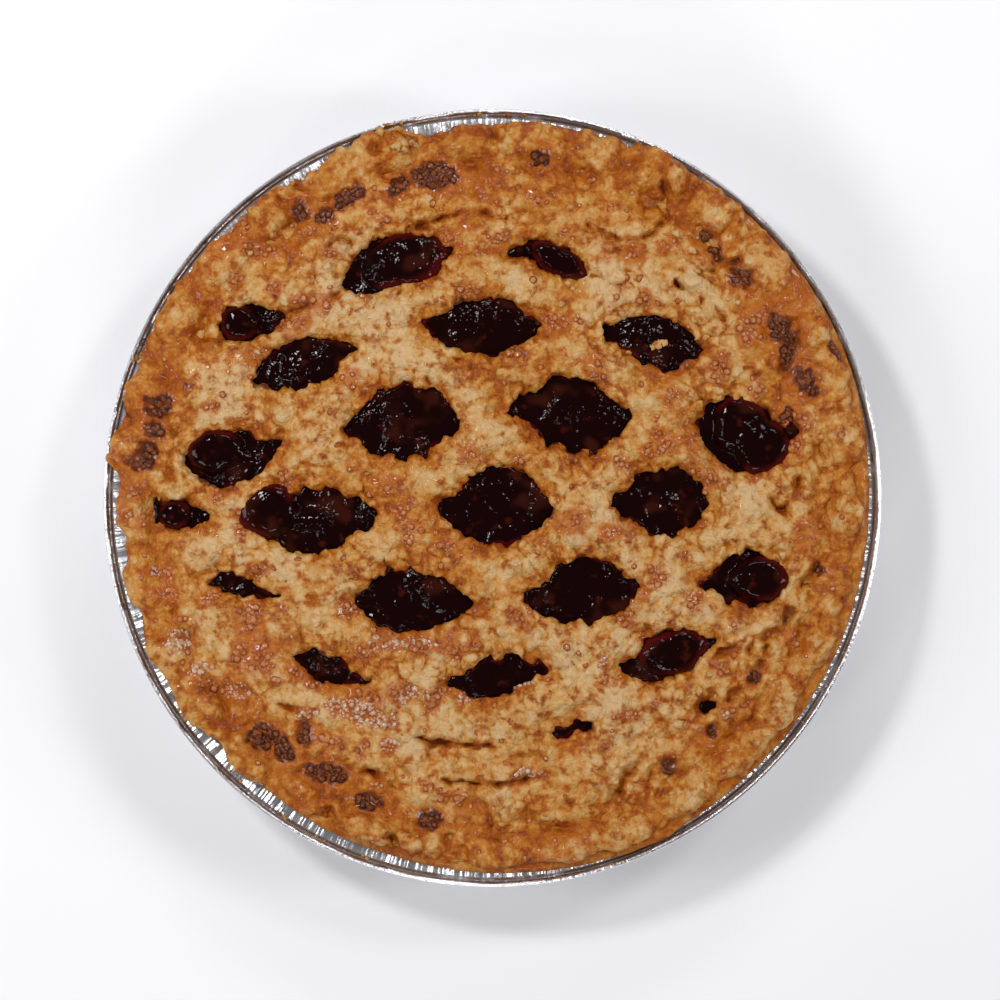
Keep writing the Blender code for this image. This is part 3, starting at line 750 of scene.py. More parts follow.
# Places where the crust is paler (below zero) or browner: across, up, reach in mm, and by
# how much
TONES = (
    (-40, 50, 22, -0.22), (-15, 40, 14, -0.12), (-72, -17, 20, -0.20), (-78, 33, 14, -0.14),
    (20, -45, 20, -0.12), (60, -15, 20, -0.16), (35, 60, 16, -0.10), (10, 62, 14, 0.06),
    (-22, -8, 13, 0.22), (-8, -22, 14, 0.15), (2, 36, 8, 0.14), (21, 51, 6, 0.20),
    (50, 15, 10, 0.16), (78, 45, 12, 0.22), (0, 100, 25, 0.16), (50, 90, 22, 0.12),
    (-60, -75, 18, 0.20), (-38, -86, 16, 0.18), (20, -20, 10, -0.08), (-30, -60, 18, -0.08),
    (75, 5, 10, -0.10), (-88, 8, 8, -0.10), (65, 75, 14, -0.06), (70, -70, 20, 0.06),
    (0, 0, 35, -0.04), (0, 80, 32, 0.05), (-80, 5, 32, 0.04), (38, -62, 14, -0.12), (-100, -20, 14, 0.10), (-95, 30, 12, 0.12), (0, -95, 25, 0.05),
)
# Melted sugar beads: across, up, half spread across and up in mm, and how many
BEADS = (
    (2.6, 75.7, 3, 2, 8), (21, 77.9, 1.5, 1, 2), (-8.2, 60.4, 4, 1.5, 9), (20.5, 51.5, 6, 2, 10),
    (7, 42, 2.5, 1.5, 4), (30.5, 39.5, 0.8, 0.8, 2), (-29.8, 3.3, 2, 1, 4), (7, 10.9, 2, 1, 3),
    (-6.9, 12.8, 2, 1, 3), (37.5, 9.6, 3, 1.5, 4), (47.5, 15.5, 5, 4, 18), (37, -10, 4, 1.5, 7),
    (22.9, -6.2, 2, 1.5, 4), (-22.2, -10, 5, 3, 9), (-25.3, -4.3, 3, 2, 5), (-14, -14, 3, 1, 5),
    (46.4, 57.9, 4, 2, 10), (40.7, 69.9, 1.5, 1.5, 3), (29.2, 92.9, 1, 1, 2),
    (34.9, 84.5, 1.2, 0.8, 2), (74.1, 45.8, 1.2, 1, 2), (76, 50, 4, 4, 14),
    (67, 38, 3.5, 4.5, 18), (76.7, 31.2, 3, 2, 6), (51, 30, 3, 2, 6), (31, 35, 3, 1, 3),
    (47.7, -22.3, 3, 3, 9), (41, -28, 3, 2, 7), (59.7, -31.5, 3, 2.5, 12),
    (71, -36.7, 1.2, 2, 4), (67.5, -49.5, 2.5, 2, 7), (71.2, -46.4, 1, 1, 2),
    (89, -41, 1.5, 2, 6), (46.6, -59.4, 1.5, 1, 3), (33.6, -72.5, 1.2, 1, 3),
    (72.8, -60.5, 1, 1, 2), (39, -63.3, 4, 1.5, 8), (38.3, -35, 2.5, 2, 8),
    (-70, -46, 6, 4, 18), (-65.7, -48.5, 2, 3, 8), (-62.6, -53.1, 1, 1, 2),
    (-76.2, -55.7, 3.5, 3, 14), (-83, -54.6, 3, 3, 8), (-56.3, -50, 2.5, 1.5, 8),
    (-50, -53.5, 4, 1.5, 8), (-36, -44.2, 2.5, 2, 10), (-24, -43.4, 5, 1.5, 12),
    (-12.4, -44.2, 2, 1.5, 5), (-28, -55.5, 4, 2, 12), (-18.7, -60, 2, 1.5, 5),
    (-15, -56.7, 2, 1.5, 5), (-37.5, -58.8, 4, 3, 9), (-48, -70.5, 4, 1.5, 7),
    (-47.4, -76.6, 0.8, 0.8, 1), (-37.5, -72.9, 2, 2, 4), (-30.2, -72.4, 1.5, 1, 3),
    (-18.7, -84.4, 1.5, 1, 3), (-9.8, -87.6, 2, 2, 4), (-33.3, -83.4, 1.2, 1, 3),
    (-53.5, 78, 1.8, 1, 4), (-35, 83.3, 0.8, 0.8, 2), (-29.8, 81.2, 1, 0.8, 1),
    (-67, 72.7, 6, 1.8, 18), (-74.5, 64, 1.5, 2, 5), (-63.8, 61.3, 1.2, 1, 3),
    (-48, 71, 2.5, 1.2, 6), (-13, 75.9, 2, 1.5, 4), (-58, 50.5, 5, 1.2, 9),
    (-52, 57, 6, 1.2, 9), (-68, 42, 3, 2, 6), (-40.8, 35.4, 0.5, 0.5, 1),
    (-81.8, 27.2, 2, 1.5, 6), (-105, 2, 2, 2, 7), (-106.3, -4.7, 1.2, 1.5, 4),
    (-100.5, -6, 2, 2.5, 6), (-73.6, -7.1, 1.5, 3, 6), (-80.9, 0.6, 2, 2, 5),
    (-76, 5.9, 3, 1.5, 5), (-59, 6.4, 3, 1.5, 6), (-67.3, -21.3, 3, 1.5, 7),
    (-81.9, -30, 2.5, 2.5, 9), (-71, -34.5, 3, 4, 20), (-44, -31.5, 2, 2.5, 8),
    (-90, -38, 4, 4, 12), (-96, -25, 3, 5, 10), (88, 20, 4, 6, 10), (92, -8, 4, 6, 6),
    (6, -34, 4, 2, 6), (60, 5, 4, 3, 7), (10, 88, 6, 3, 7), (-75, 78, 4, 4, 8),
)
# Sugar burnt to caramel: across, up, half spreads, slant in degrees, and how many lumps
CARAMEL = (
    (-17, 94, 6.0, 3.2, -8, 46), (-27.5, 91.3, 2.6, 1.6, 40, 10), (-41.5, 88.2, 4.6, 2.0, 38, 22),
    (-49, 82.4, 2.4, 1.5, 20, 8), (-55.8, 83.2, 2.2, 2.2, 0, 9), (-96.5, 26.8, 3.4, 2.0, 30, 18),
    (-98, 19.6, 1.8, 1.5, 0, 7), (-101.0, 12.0, 1.8, 3.6, -18, 16), (-66.5, -69.5, 4.2, 3.2, 20, 26),
    (-60.5, -73.5, 2.2, 3.4, 5, 14), (-55, -69, 1.2, 3.0, -10, 8), (-48.5, -80.2, 5.6, 1.9, -8, 26),
    (-36, -88.8, 3.4, 1.9, -15, 15), (-18.3, -93.6, 2.6, 2.2, 20, 11), (62.2, 76.5, 0.9, 1.4, 20, 3),
    (65.3, 71, 1.2, 2.2, 25, 7), (72.5, 64, 2.4, 2.2, -30, 11), (83.5, 50, 2.4, 3.0, 0, 13),
    (86.5, 43, 1.6, 5.0, -10, 16), (91.5, 34, 2.0, 4.2, 25, 15), (86.2, 22, 1.4, 5.0, 5, 12),
    (99.8, 42.5, 1.2, 3.4, 30, 11), (13.5, 98.7, 2.6, 1.2, 0, 9), (76.6, -52, 1.2, 1.0, 0, 4),
    (51.4, -78.4, 1.4, 1.8, 0, 6), (64, -68, 1.0, 1.0, 0, 3),
    (95, -20.5, 1.0, 1.2, 0, 3),
)

# Drifts of unmelted sugar: across, up, half spread across and up in mm, slant in degrees, and how many
DRIFTS = (
    (-91.5, -41.6, 3.6, 3.0, 0, 34), (-84.5, -49.5, 3.0, 2.0, 0, 12), (-38, -62.5, 11.0, 3.4, -14, 90),
    (-74, -56, 3.6, 2.4, 0, 16), (5.5, -54, 6.0, 1.4, 5, 26), (-32, -42, 7.5, 1.6, -10, 22),
    (68, -63.6, 1.4, 1.4, 0, 5), (-8, -58, 2.4, 1.4, 0, 8), (-54, -62.5, 3.0, 1.4, 0, 10),
    (-43, -32, 2.6, 1.4, 0, 7), (-24, -57, 7.0, 2.4, 0, 26), (-20, -42, 5.0, 1.2, 0, 12),
    (-30, -72, 3.0, 1.6, 0, 8), (10, -80, 5.0, 1.6, 8, 10), (33, -48, 3.0, 1.6, 0, 6),
)

def face_height(radii):
    """Height of the crust's plain upper face at each radius."""
    knots = np.array(FACE_HEIGHTS) * MM
    return np.interp(radii, knots[:, 0], knots[:, 1])


def cobbled(x, y, size, seed):
    """How far inside its own clump each point lies: 0 on a seam between two clumps."""
    drift = np.random.default_rng(seed).uniform(0.1, 0.9, (2, 64, 64))
    i, j = np.floor(x / size).astype(int), np.floor(y / size).astype(int)
    gaps = []
    for di in (-1, 0, 1):
        for dj in (-1, 0, 1):
            at = (i + di) % 64, (j + dj) % 64
            gap_x = i + di + drift[0][at] - x / size
            gaps.append(np.hypot(gap_x, j + dj + drift[1][at] - y / size))
    gaps = np.sort(np.array(gaps), axis=0)
    return gaps[1] - gaps[0]


def way_off(x, y, path):
    """Distance in millimetres of each point from a path of straight pieces."""
    best = np.full(len(x), 1e9)
    for (x0, y0), (x1, y1) in zip(path, path[1:]):
        run = max((x1 - x0) ** 2 + (y1 - y0) ** 2, 1e-6)
        share = np.clip(((x - x0) * (x1 - x0) + (y - y0) * (y1 - y0)) / run, 0.0, 1.0)
        best = np.minimum(best, np.hypot(x - x0 - share * (x1 - x0), y - y0 - share * (y1 - y0)))
    return best


def copied(node_name, name):
    """A CAD node's mesh as a new piece, with its loose triangles merged."""
    made = bpy.data.objects.new(name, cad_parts[node_name].data.copy())
    bpy.context.scene.collection.objects.link(made)
    made.data.materials.clear()
    take(made)
    bpy.ops.object.mode_set(mode="EDIT")
    bpy.ops.mesh.select_all(action="SELECT")
    bpy.ops.mesh.remove_doubles(threshold=0.005 * MM)
    bpy.ops.object.mode_set(mode="OBJECT")
    return made


def thin_out(piece, chosen, ratio):
    """Keep a hidden part of the mesh coarse: collapse the chosen vertices."""
    take(piece)
    bpy.ops.object.mode_set(mode="EDIT")
    bpy.ops.mesh.select_mode(type="VERT")
    bpy.ops.mesh.select_all(action="DESELECT")
    bpy.ops.object.mode_set(mode="OBJECT")
    piece.data.vertices.foreach_set("select", chosen)
    bpy.ops.object.mode_set(mode="EDIT")
    bpy.ops.mesh.decimate(ratio=ratio)
    bpy.ops.object.mode_set(mode="OBJECT")


def normals_of(piece):
    flat = np.empty(len(piece.data.vertices) * 3, dtype=np.float32)
    piece.data.vertices.foreach_get("normal", flat)
    return flat.reshape(-1, 3)


crust = copied("top_crust", "lattice_crust")
add_modifier(crust, "even", "REMESH", mode="VOXEL", voxel_size=CRUST_VOXEL)
points = mesh_points(crust)
normals = normals_of(crust)
radii = np.hypot(points[:, 0], points[:, 1])
wall = (np.abs(normals[:, 2]) < 0.45) & (radii < 96.0 * MM)
under = (normals[:, 2] < -0.8) & (points[:, 2] < face_height(radii) - 1.2 * MM)
wall_tree = KDTree(int(wall.sum()))
for count, point in enumerate(points[wall]):
    wall_tree.insert((point[0], point[1], 0.0), count)
wall_tree.balance()
from_wall = np.array([wall_tree.find((p[0], p[1], 0.0))[2] for p in points])
thin_out(crust, under & (from_wall > 1.5 * MM), 0.035)
add_modifier(crust, "round", "SMOOTH", factor=0.5, iterations=2)

points = mesh_points(crust)
radii = np.hypot(points[:, 0], points[:, 1])
angles = np.arctan2(points[:, 1], points[:, 0])
from_wall = np.array([wall_tree.find((p[0], p[1], 0.0))[2] for p in points]) / MM
x, y, r = points[:, 0] / MM, points[:, 1] / MM, radii / MM
upper = smooth_step(points[:, 2] - face_height(radii), -2.4 * MM, -0.6 * MM)
upper = np.maximum(upper, smooth_step(points[:, 2], 31.6 * MM, 32.6 * MM) * (r > 93))
rim = smooth_step(r, 84.0, 97.0)

rise = 0.80 * rolling(x, y, 13.0, 21) + 0.50 * rolling(x, y, 7.0, 22)
for size, high, seed in ((8.0, 1.4, 26), (5.0, 1.1, 23), (3.1, 0.75, 24), (1.9, 0.25, 25)):
    rise += high * (1.0 - 0.22 * rim) * (np.abs(rolling(x, y, size, seed)) - 0.3)
bent_x, bent_y = x + 1.6 * rolling(x, y, 6.0, 65), y + 1.6 * rolling(x, y, 6.0, 66)
some = smooth_step(rolling(x, y, 17.0, 67), -0.2, 0.6)
some *= 0.25 + 0.45 * rim
parted = cobbled(bent_x, bent_y, 9.5, 68)
seam = some * np.exp(-(parted / 0.13) ** 2)
rise += 1.7 * some * (smooth_step(parted, 0.0, 0.40) - 0.7) - 0.7 * seam
fine = smooth_step(rolling(x, y, 14.0, 70), -0.5, 0.3) * (1.0 - 0.3 * rim)
cracked = cobbled(bent_x, bent_y, 4.7, 69)
crack = fine * np.exp(-(cracked / 0.12) ** 2)
rise += 0.65 * fine * (smooth_step(cracked, 0.0, 0.40) - 0.7) - 0.35 * crack
rise += 0.8 * smooth_step(from_wall, 6.0, 1.0) * (np.abs(rolling(x, y, 3.0, 71)) - 0.3)
inner = (r < 96) * 1.0
edge = np.clip(1.0 - from_wall / 1.8, 0.0, 1.0)
rise -= (1.0 - np.sqrt(np.maximum(0.0, 1.0 - edge ** 2))) * 1.3 * inner
rise += 1.7 * smooth_step(from_wall, 0.0, 6.5) * inner * (1.0 - rim) - 0.6 * inner * (1.0 - rim)

# the thumb presses: a pit, a plump lobe outside it and a fold on each side of the lobe
chance = np.random.default_rng(5)
jitter = chance.uniform(-0.13, 0.13, CRIMPS) * CRIMP_PITCH
push = chance.uniform(0.45, 1.15, CRIMPS)
reach = chance.uniform(-1.0, 1.0, CRIMPS)
breadth = chance.uniform(7.6, 9.6, CRIMPS)
bent_x, bent_y = x + 1.3 * rolling(x, y, 7.0, 55), y + 1.3 * rolling(x, y, 7.0, 56)
bent_r = np.hypot(bent_x, bent_y)
turn = (np.arctan2(bent_y, bent_x) - CRIMP_PHASE) % math.tau / CRIMP_PITCH
which = np.rint(turn).astype(int)
crimp = which % CRIMPS
beside = ((turn - which) * CRIMP_PITCH - jitter[crimp]) * bent_r
off = np.hypot(beside / breadth[crimp], (bent_r - 103.8 - 0.5 * reach[crimp]) / 5.4)
lobe = np.sqrt(np.clip(1.0 - off * off, 0.0, 1.0)) * smooth_step(bent_r, 97.5, 100.0)
rise += 1.8 * push[crimp] * lobe - 1.0 * smooth_step(r, 96.0, 99.5)
pit = np.exp(-(beside / 3.8) ** 2 - ((bent_r - 97.2 - reach[crimp]) / 2.0) ** 2)
rise -= 1.5 * push[crimp] * pit
bent_x, bent_y = x + 0.9 * rolling(x, y, 3.6, 61), y + 0.9 * rolling(x, y, 3.6, 62)
uneven = 0.95 + 0.9 * rolling(x, y, 4.4, 63)
for width, deep, *path in CREASES:
    off = way_off(bent_x, bent_y, path)
    rise -= 1.25 * deep * np.clip(uneven, 0.1, 1.5) * np.exp(-(off / (width * np.clip(uneven, 0.6, 1.3))) ** 2)
    rise += 0.5 * np.exp(-((off - 2.4) / 1.3) ** 2)
# where the sugar fell
chance = random.Random(12)
beads = []
for across, up, wide, tall, count in BEADS:
    for _ in range(count):
        reach, turn = math.sqrt(chance.random()), chance.uniform(0.0, math.tau)
        beads.append((across + wide * reach * math.cos(turn), up + tall * reach * math.sin(turn)))
clustered = list(beads)
for _ in range(260):
    reach, turn = 106.0 * math.sqrt(chance.random()), chance.uniform(0.0, math.tau)
    beads.append((reach * math.cos(turn), reach * math.sin(turn)))
lumps = []
for across, up, wide, tall, slant, count in CARAMEL:
    for _ in range(round(1.6 * count)):
        reach, turn = math.sqrt(chance.random()), chance.uniform(0.0, math.tau)
        u, v = wide * reach * math.cos(turn), tall * reach * math.sin(turn)
        lean = math.radians(slant)
        lumps.append((across + u * math.cos(lean) - v * math.sin(lean),
                      up + u * math.sin(lean) + v * math.cos(lean)))


def nearness(spots, reach):
    """From 1 at a sugar spot to 0 at its reach, for each vertex of the top crust."""
    tree = KDTree(len(spots))
    for count, spot in enumerate(spots):
        tree.insert((*spot, 0.0), count)
    tree.balance()
    off = np.array([tree.find((a, b, 0.0))[2] for a, b in zip(x, y)])
    return 1.0 - smooth_step(off, 0.2 * reach, reach)


def scattered(table, rng):
    """Spots spread at random over slanted ovals."""
    spots = []
    for across, up, wide, tall, slant, count in table:
        lean = math.radians(slant)
        for _ in range(count):
            reach, turn = math.sqrt(rng.random()), rng.uniform(0.0, math.tau)
            u, v = wide * reach * math.cos(turn), tall * reach * math.sin(turn)
            spots.append((across + u * math.cos(lean) - v * math.sin(lean),
                          up + u * math.sin(lean) + v * math.cos(lean)))
    return spots


drifted = scattered(DRIFTS, random.Random(17))
pool = nearness(lumps, 3.4)
rise = rise * (1.0 - 0.45 * pool) - 0.5 * pool
rise = np.maximum(rise, -2.8)
points[:, 2] += rise * MM * upper
sway = smooth_step(from_wall, 6.0, 0.5) * inner * MM
for size, far, seed in ((6.4, 0.3, 51), (2.9, 0.8, 53), (1.5, 0.5, 57)):
    points[:, 0] += far * rolling(x, y, size, seed) * sway
    points[:, 1] += far * rolling(x, y, size, seed + 1) * sway
edge_push = 0.9 * rolling(x, y, 4.2, 27) + 0.5 * rolling(x, y, 2.0, 28)
edge_push += 1.2 * lobe - 0.5
edge_push = edge_push * smooth_step(r, 103.0, 106.5) * MM
goal = (from_table(angles, EDGE) - from_table(angles, BAND)) * MM
reach_out(points, 99.0 * MM, goal)
points[:, 0] += edge_push * np.cos(angles)
points[:, 1] += edge_push * np.sin(angles)
set_points(crust, points)
take(crust)
bpy.ops.object.shade_smooth()

# Painted shade: the crust is browner along the seams and cracks between its clumps.
browning = 0.385 - 0.03 * rim + 0.22 * seam + 0.18 * crack + 0.12 * rolling(x, y, 24.0, 31) + 0.14 * rolling(x, y, 9.0, 32)
for across, up, reach, amount in TONES:
    browning += amount * np.exp(-((x - across) ** 2 + (y - up) ** 2) / reach ** 2)
sunk = face_height(radii) - points[:, 2]
# Painted light: the crust is paler within about 2 mm of the window walls, on the rounded lips.
browning -= 0.10 * smooth_step(from_wall, 2.4, 0.8) * inner
paint(crust, "browning", browning)
# The relief also paints shade: the pastry's colour is browner in hollows and paler on tops.
paint(crust, "relief", np.clip(rise, -2.0, 1.0) * (1.0 - 0.3 * rim))
glaze = 0.30 * nearness(beads, 3.0) + 0.60 * nearness(clustered, 4.5)
glaze += 0.80 * nearness(lumps, 5.0)
glaze += 0.60 * smooth_step(rolling(x, y, 16.0, 33), 0.0, 0.7) + 0.15 * rim
paint(crust, "glaze", glaze)
paint(crust, "sugar", np.maximum(0.55 * nearness(clustered, 2.6), 0.75 * nearness(drifted, 2.6)))
paint(crust, "burnt", 0.9 * nearness(lumps, 2.4))
# Purple: juice soaked in near the window walls, and painted shade wherever the crust lies more than 2.2 mm below its
# face, in deep creases and pits.
soak_and_shade = smooth_step(from_wall, 2.2, 0.2) * (r < 96) * smooth_step(rolling(x, y, 9.0, 34), 0.3, 0.8)
soak_and_shade += smooth_step(sunk, 2.2 * MM, 3.4 * MM) * (r < 96)
paint(crust, "juice", np.clip(soak_and_shade, 0.0, 1.0))
crust.data.materials.append(pastry_material("top_crust_pastry", 0.9))
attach(crust, "root")
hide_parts("top_crust")


# ---- Cherry filling
# Cherries in a set starch gel, nearly black with a wet gloss. It dried in fine wrinkles where
# the windows left it open, and in places syrup welled up over the edge of the crust.
FILLING_VOXEL = 0.5 * MM
# Syrup domes: across, up, half length, half width in mm, slant in degrees, how far each stands
# over the crust's face in mm, and how wrinkled its skin is
DOMES = (
    (-92.8, -4.6, 4.6, 4.0, 0, 0.7, 0.0), (-81.0, 14.0, 7.4, 6.2, 10, 0.7, 0.3),
    (-65.8, -3.4, 8.6, 7.6, 15, 0.9, 0.1), (-74.0, 51.2, 5.6, 4.8, 0, 0.5, 0.2),
    (-25.0, 69.4, 12.0, 7.6, 17, 0.5, 0.9), (19.5, 69.2, 8.6, 4.4, -28, 0.4, 0.8),
    (72.5, 21.5, 7.6, 8.4, 0, 0.5, 0.5), (79.0, 14.6, 7.4, 7.6, -20, 0.8, 0.2),
    (78.0, -23.5, 8.0, 6.0, 5, 0.7, 0.4), (53.0, -44.8, 10.0, 6.2, 22, 0.5, 0.6),
)

filling = copied("filling", "cherry_gel")
add_modifier(filling, "even", "REMESH", mode="VOXEL", voxel_size=FILLING_VOXEL)
crust_tree = BVHTree.FromObject(crust, bpy.context.evaluated_depsgraph_get())


def open_above(point):
    return crust_tree.ray_cast((point[0], point[1], 20.0 * MM), (0.0, 0.0, 1.0))[0] is None


points = mesh_points(filling)
radii = np.hypot(points[:, 0], points[:, 1])
top = points[:, 2] > 28.5 * MM
shown = np.zeros(len(points), dtype=bool)
shown[top] = [open_above(point) for point in points[top]]
near = np.zeros(len(points), dtype=bool)
for index in np.flatnonzero(top & ~shown & (radii < 97.0 * MM)):
    point = points[index]
    near[index] = wall_tree.find((point[0], point[1], 0.0))[2] < 3.4 * MM
thin_out(filling, ~(shown | near), 0.02)

points = mesh_points(filling)
x, y = points[:, 0] / MM, points[:, 1] / MM
radii = np.hypot(points[:, 0], points[:, 1])
top = points[:, 2] > 28.5 * MM
inside = np.full(len(points), -9.0)
for index in np.flatnonzero(top):
    point = points[index]
    off = wall_tree.find((point[0], point[1], 0.0))[2] / MM
    inside[index] = off if open_above(point) else -off
free = smooth_step(inside, -1.2, 0.6)
wrinkled = 0.35 + 0.65 * smooth_step(rolling(x, y, 10.0, 41), -0.5, 0.3)
ridges = 1.0 - np.abs(rolling(x, y, 3.4, 42) + 0.3 * rolling(x, y, 1.7, 43))
swell = 0.9 + 0.9 * rolling(x, y, 12.0, 44) + 0.35 * rolling(x, y, 5.0, 45)
swell += wrinkled * (0.35 * ridges ** 2 + 0.45 * np.abs(rolling(x, y, 1.6, 46)))
level = points[:, 2] + swell * MM * free
thin = smooth_step(inside, 0.9, 0.1) * smooth_step(rolling(x, y, 9.0, 47), 0.1, 0.6)
crinkle = swell - 0.9
for across, up, half_long, half_wide, slant, proud, skin in DOMES:
    lean = math.radians(slant)
    u = ((x - across) * math.cos(lean) + (y - up) * math.sin(lean)) / half_long
    v = (-(x - across) * math.sin(lean) + (y - up) * math.cos(lean)) / half_wide
    off = np.hypot(u, v) + 0.13 * rolling(x, y, 6.0, 48) + 0.04 * rolling(x, y, 2.0, 49)
    dome = face_height(radii) + (proud - 0.9 * off ** 2 - 1.6 * off ** 8) * MM
    dome += skin * (0.5 * crinkle + 0.2 * ridges) * MM
    gap = level - dome
    joined = 0.5 * (level + dome + np.sqrt(gap ** 2 + (2.0 * MM) ** 2))
    over = top & (off < 1.12) & (inside > -3.0)
    level = np.where(over, np.where(inside > 0.0, joined, np.maximum(level, dome)), level)
    on_dome = over & (gap < 0.0)
    wrinkled = np.where(on_dome, 0.08 + 0.92 * skin, wrinkled)
    edge = smooth_step(off, 0.60, 1.0) * smooth_step(inside, 3.2, 0.0)
    thin = np.where(on_dome, 0.9 * edge, thin)
points[:, 2] = np.where(top, level, points[:, 2])
set_points(filling, points)
take(filling)
bpy.ops.object.shade_smooth()
paint(filling, "thin", thin)
paint(filling, "wrinkle", wrinkled)

gel, tree, shader = new_material("cherry_gel")
coords = node(tree, "TexCoord")
place = coords.outputs["Object"]
thin_part = node(tree, "Attribute", attribute_name="thin").outputs["Fac"]
wrinkle = node(tree, "Attribute", attribute_name="wrinkle").outputs["Fac"]
skin = noise(tree, place, 420.0, 2.0, 0.5)
pulp = noise(tree, place, 210.0, 3.0, 0.55)
pores = noise(tree, place, 1150.0, 1.0, 0.5)
colour = blend_colour(
    tree, ranged(tree, pulp, 0.58, 0.72), (0.0065, 0.0006, 0.0007, 1.0), (0.036, 0.0045, 0.0020, 1.0)
)
stewed = ranged(tree, noise(tree, place, 75.0, 2.0, 0.5), 0.56, 0.68)
colour = blend_colour(tree, stewed, colour, (0.030, 0.0050, 0.0025, 1.0))
colour = blend_colour(tree, thin_part, colour, (0.075, 0.0030, 0.0040, 1.0))
wire(tree, colour, shader.inputs["Base Color"])
wire(tree, ranged(tree, skin, 0.35, 0.65, 0.03, 0.07), shader.inputs["Roughness"])
height = sums(tree, "ADD", sums(tree, "MULTIPLY", skin, 1.0), sums(tree, "MULTIPLY", pores, 0.10))
height = sums(tree, "MULTIPLY", height, wrinkle)
bump = node(tree, "Bump", {"Height": height, "Distance": 0.8 * MM, "Strength": 0.60})
wire(tree, bump.outputs["Normal"], shader.inputs["Normal"])
shader.inputs["Specular IOR Level"].default_value = 0.11
filling.data.materials.append(gel)
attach(filling, "root")
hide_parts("filling")


# ---- Melted sugar
# Coarse sugar was strewn on the raw crust. Most grains melted in the oven to small amber
# beads, clear in the middle and dark where they touch the pastry.
def worn_grain(seed, squareness, roughness):
    """A sugar grain: a ball pushed towards a cube, with its faces worn uneven."""
    bpy.ops.object.select_all(action="DESELECT")
    bpy.ops.mesh.primitive_ico_sphere_add(subdivisions=2, radius=1.0)
    made = bpy.context.object
    corners = mesh_points(made)
    cube = (np.abs(corners) ** 4).sum(axis=1) ** 0.25
    corners /= (1.0 + squareness * (cube - 1.0))[:, None]
    rng = np.random.default_rng(seed)
    corners *= (1.0 + rng.uniform(-roughness, roughness, len(corners)))[:, None]
    set_points(made, corners)
    return made


def strewn(name, shapes, places):
    """One mesh with a grain at each place, each with a tone of its own."""
    patterns = [mesh_points(shape) for shape in shapes]
    faces = np.array([tuple(face.vertices) for face in shapes[0].data.polygons])
    count, size = len(places), len(patterns[0])
    solid = np.empty((count, size, 3))
    outer = np.empty((count, size))
    for index, place in enumerate(places):
        corners = patterns[index % len(patterns)]
        solid[index] = corners @ np.array(place.to_3x3()).T + np.array(place.translation)
        outer[index] = np.hypot(corners[:, 0], corners[:, 1])
    mesh = bpy.data.meshes.new(name)
    all_faces = (faces[None, :, :] + (np.arange(count) * size)[:, None, None]).reshape(-1, 3)
    mesh.from_pydata(solid.reshape(-1, 3).tolist(), [], all_faces.tolist())
    made = bpy.data.objects.new(name, mesh)
    bpy.context.scene.collection.objects.link(made)
    made.data.shade_smooth()
    tones = np.random.default_rng(count).uniform(0.0, 1.0, count)
    paint(made, "tone", np.repeat(tones, size))
    paint(made, "outer", outer.ravel())
    for shape in shapes:
        bpy.data.objects.remove(shape, do_unlink=True)
    return made


def settled(ground, spots, low, high, flatness, sink, rng):
    """A place for each grain that lands on the ground: its turn and lean follow it."""
    places = []
    for across, up in spots:
        start = (across * MM, up * MM, 60.0 * MM)
        point, normal, _, _ = ground.ray_cast(start, (0.0, 0.0, -1.0))
        if point is None or point.z < 26.0 * MM:
            continue
        size = rng.uniform(low, high) * MM
        turn = normal.to_track_quat("Z", "Y").to_matrix().to_4x4()
        turn @= Matrix.Rotation(rng.uniform(0.0, math.tau), 4, "Z")
        scale = Matrix.Diagonal((size, size * rng.uniform(0.8, 1.1), size * flatness, 1.0))
        places.append(Matrix.Translation(point + normal * sink * size) @ turn @ scale)
    return places


chance = random.Random(21)
bead_piece = strewn(
    "melted_sugar",
    [worn_grain(seed, 0.8, 0.11) for seed in (1, 2, 3, 14, 15)],
    settled(crust_tree, beads, 0.45, 1.20, 0.42, -0.12, chance),
)
amber, tree, shader = new_material("amber_sugar")
tone = node(tree, "Attribute", attribute_name="tone").outputs["Fac"]
outer = node(tree, "Attribute", attribute_name="outer").outputs["Fac"]
colour = blend_colour(tree, tone, (0.48, 0.21, 0.080, 1.0), (0.41, 0.125, 0.022, 1.0))
colour = blend_colour(
    tree, ranged(tree, outer, 0.45, 0.88), colour, (0.27, 0.055, 0.005, 1.0)
)
wire(tree, colour, shader.inputs["Base Color"])
coords = node(tree, "TexCoord")
crackle = noise(tree, coords.outputs["Object"], 1600.0, 2.0, 0.5)
wire(tree, ranged(tree, crackle, 0.3, 0.7, 0.12, 0.30), shader.inputs["Roughness"])
bump = node(tree, "Bump", {"Height": crackle, "Distance": 0.25 * MM, "Strength": 0.5})
wire(tree, bump.outputs["Normal"], shader.inputs["Normal"])
shader.inputs["Specular IOR Level"].default_value = 0.15
shader.inputs["Coat Weight"].default_value = 0.60
shader.inputs["Coat Roughness"].default_value = 0.05
bead_piece.data.materials.append(amber)
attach(bead_piece, "root")


# ---- Caramelised sugar
# Where sugar lay thick in the hollows it ran together and burnt to dark caramel lumps with
# half melted grains in them.
caramel_piece = strewn(
    "caramel_lumps",
    [worn_grain(seed, 0.9, 0.06) for seed in (4, 5, 6, 7)],
    settled(crust_tree, lumps, 0.40, 1.25, 0.58, -0.16, chance),
)
caramel, tree, shader = new_material("burnt_sugar")
tone = node(tree, "Attribute", attribute_name="tone").outputs["Fac"]
outer = node(tree, "Attribute", attribute_name="outer").outputs["Fac"]
coords = node(tree, "TexCoord")
crackle = noise(tree, coords.outputs["Object"], 900.0, 4.0, 0.65)
colour = blend_colour(tree, tone, (0.235, 0.056, 0.008, 1.0), (0.080, 0.014, 0.002, 1.0))
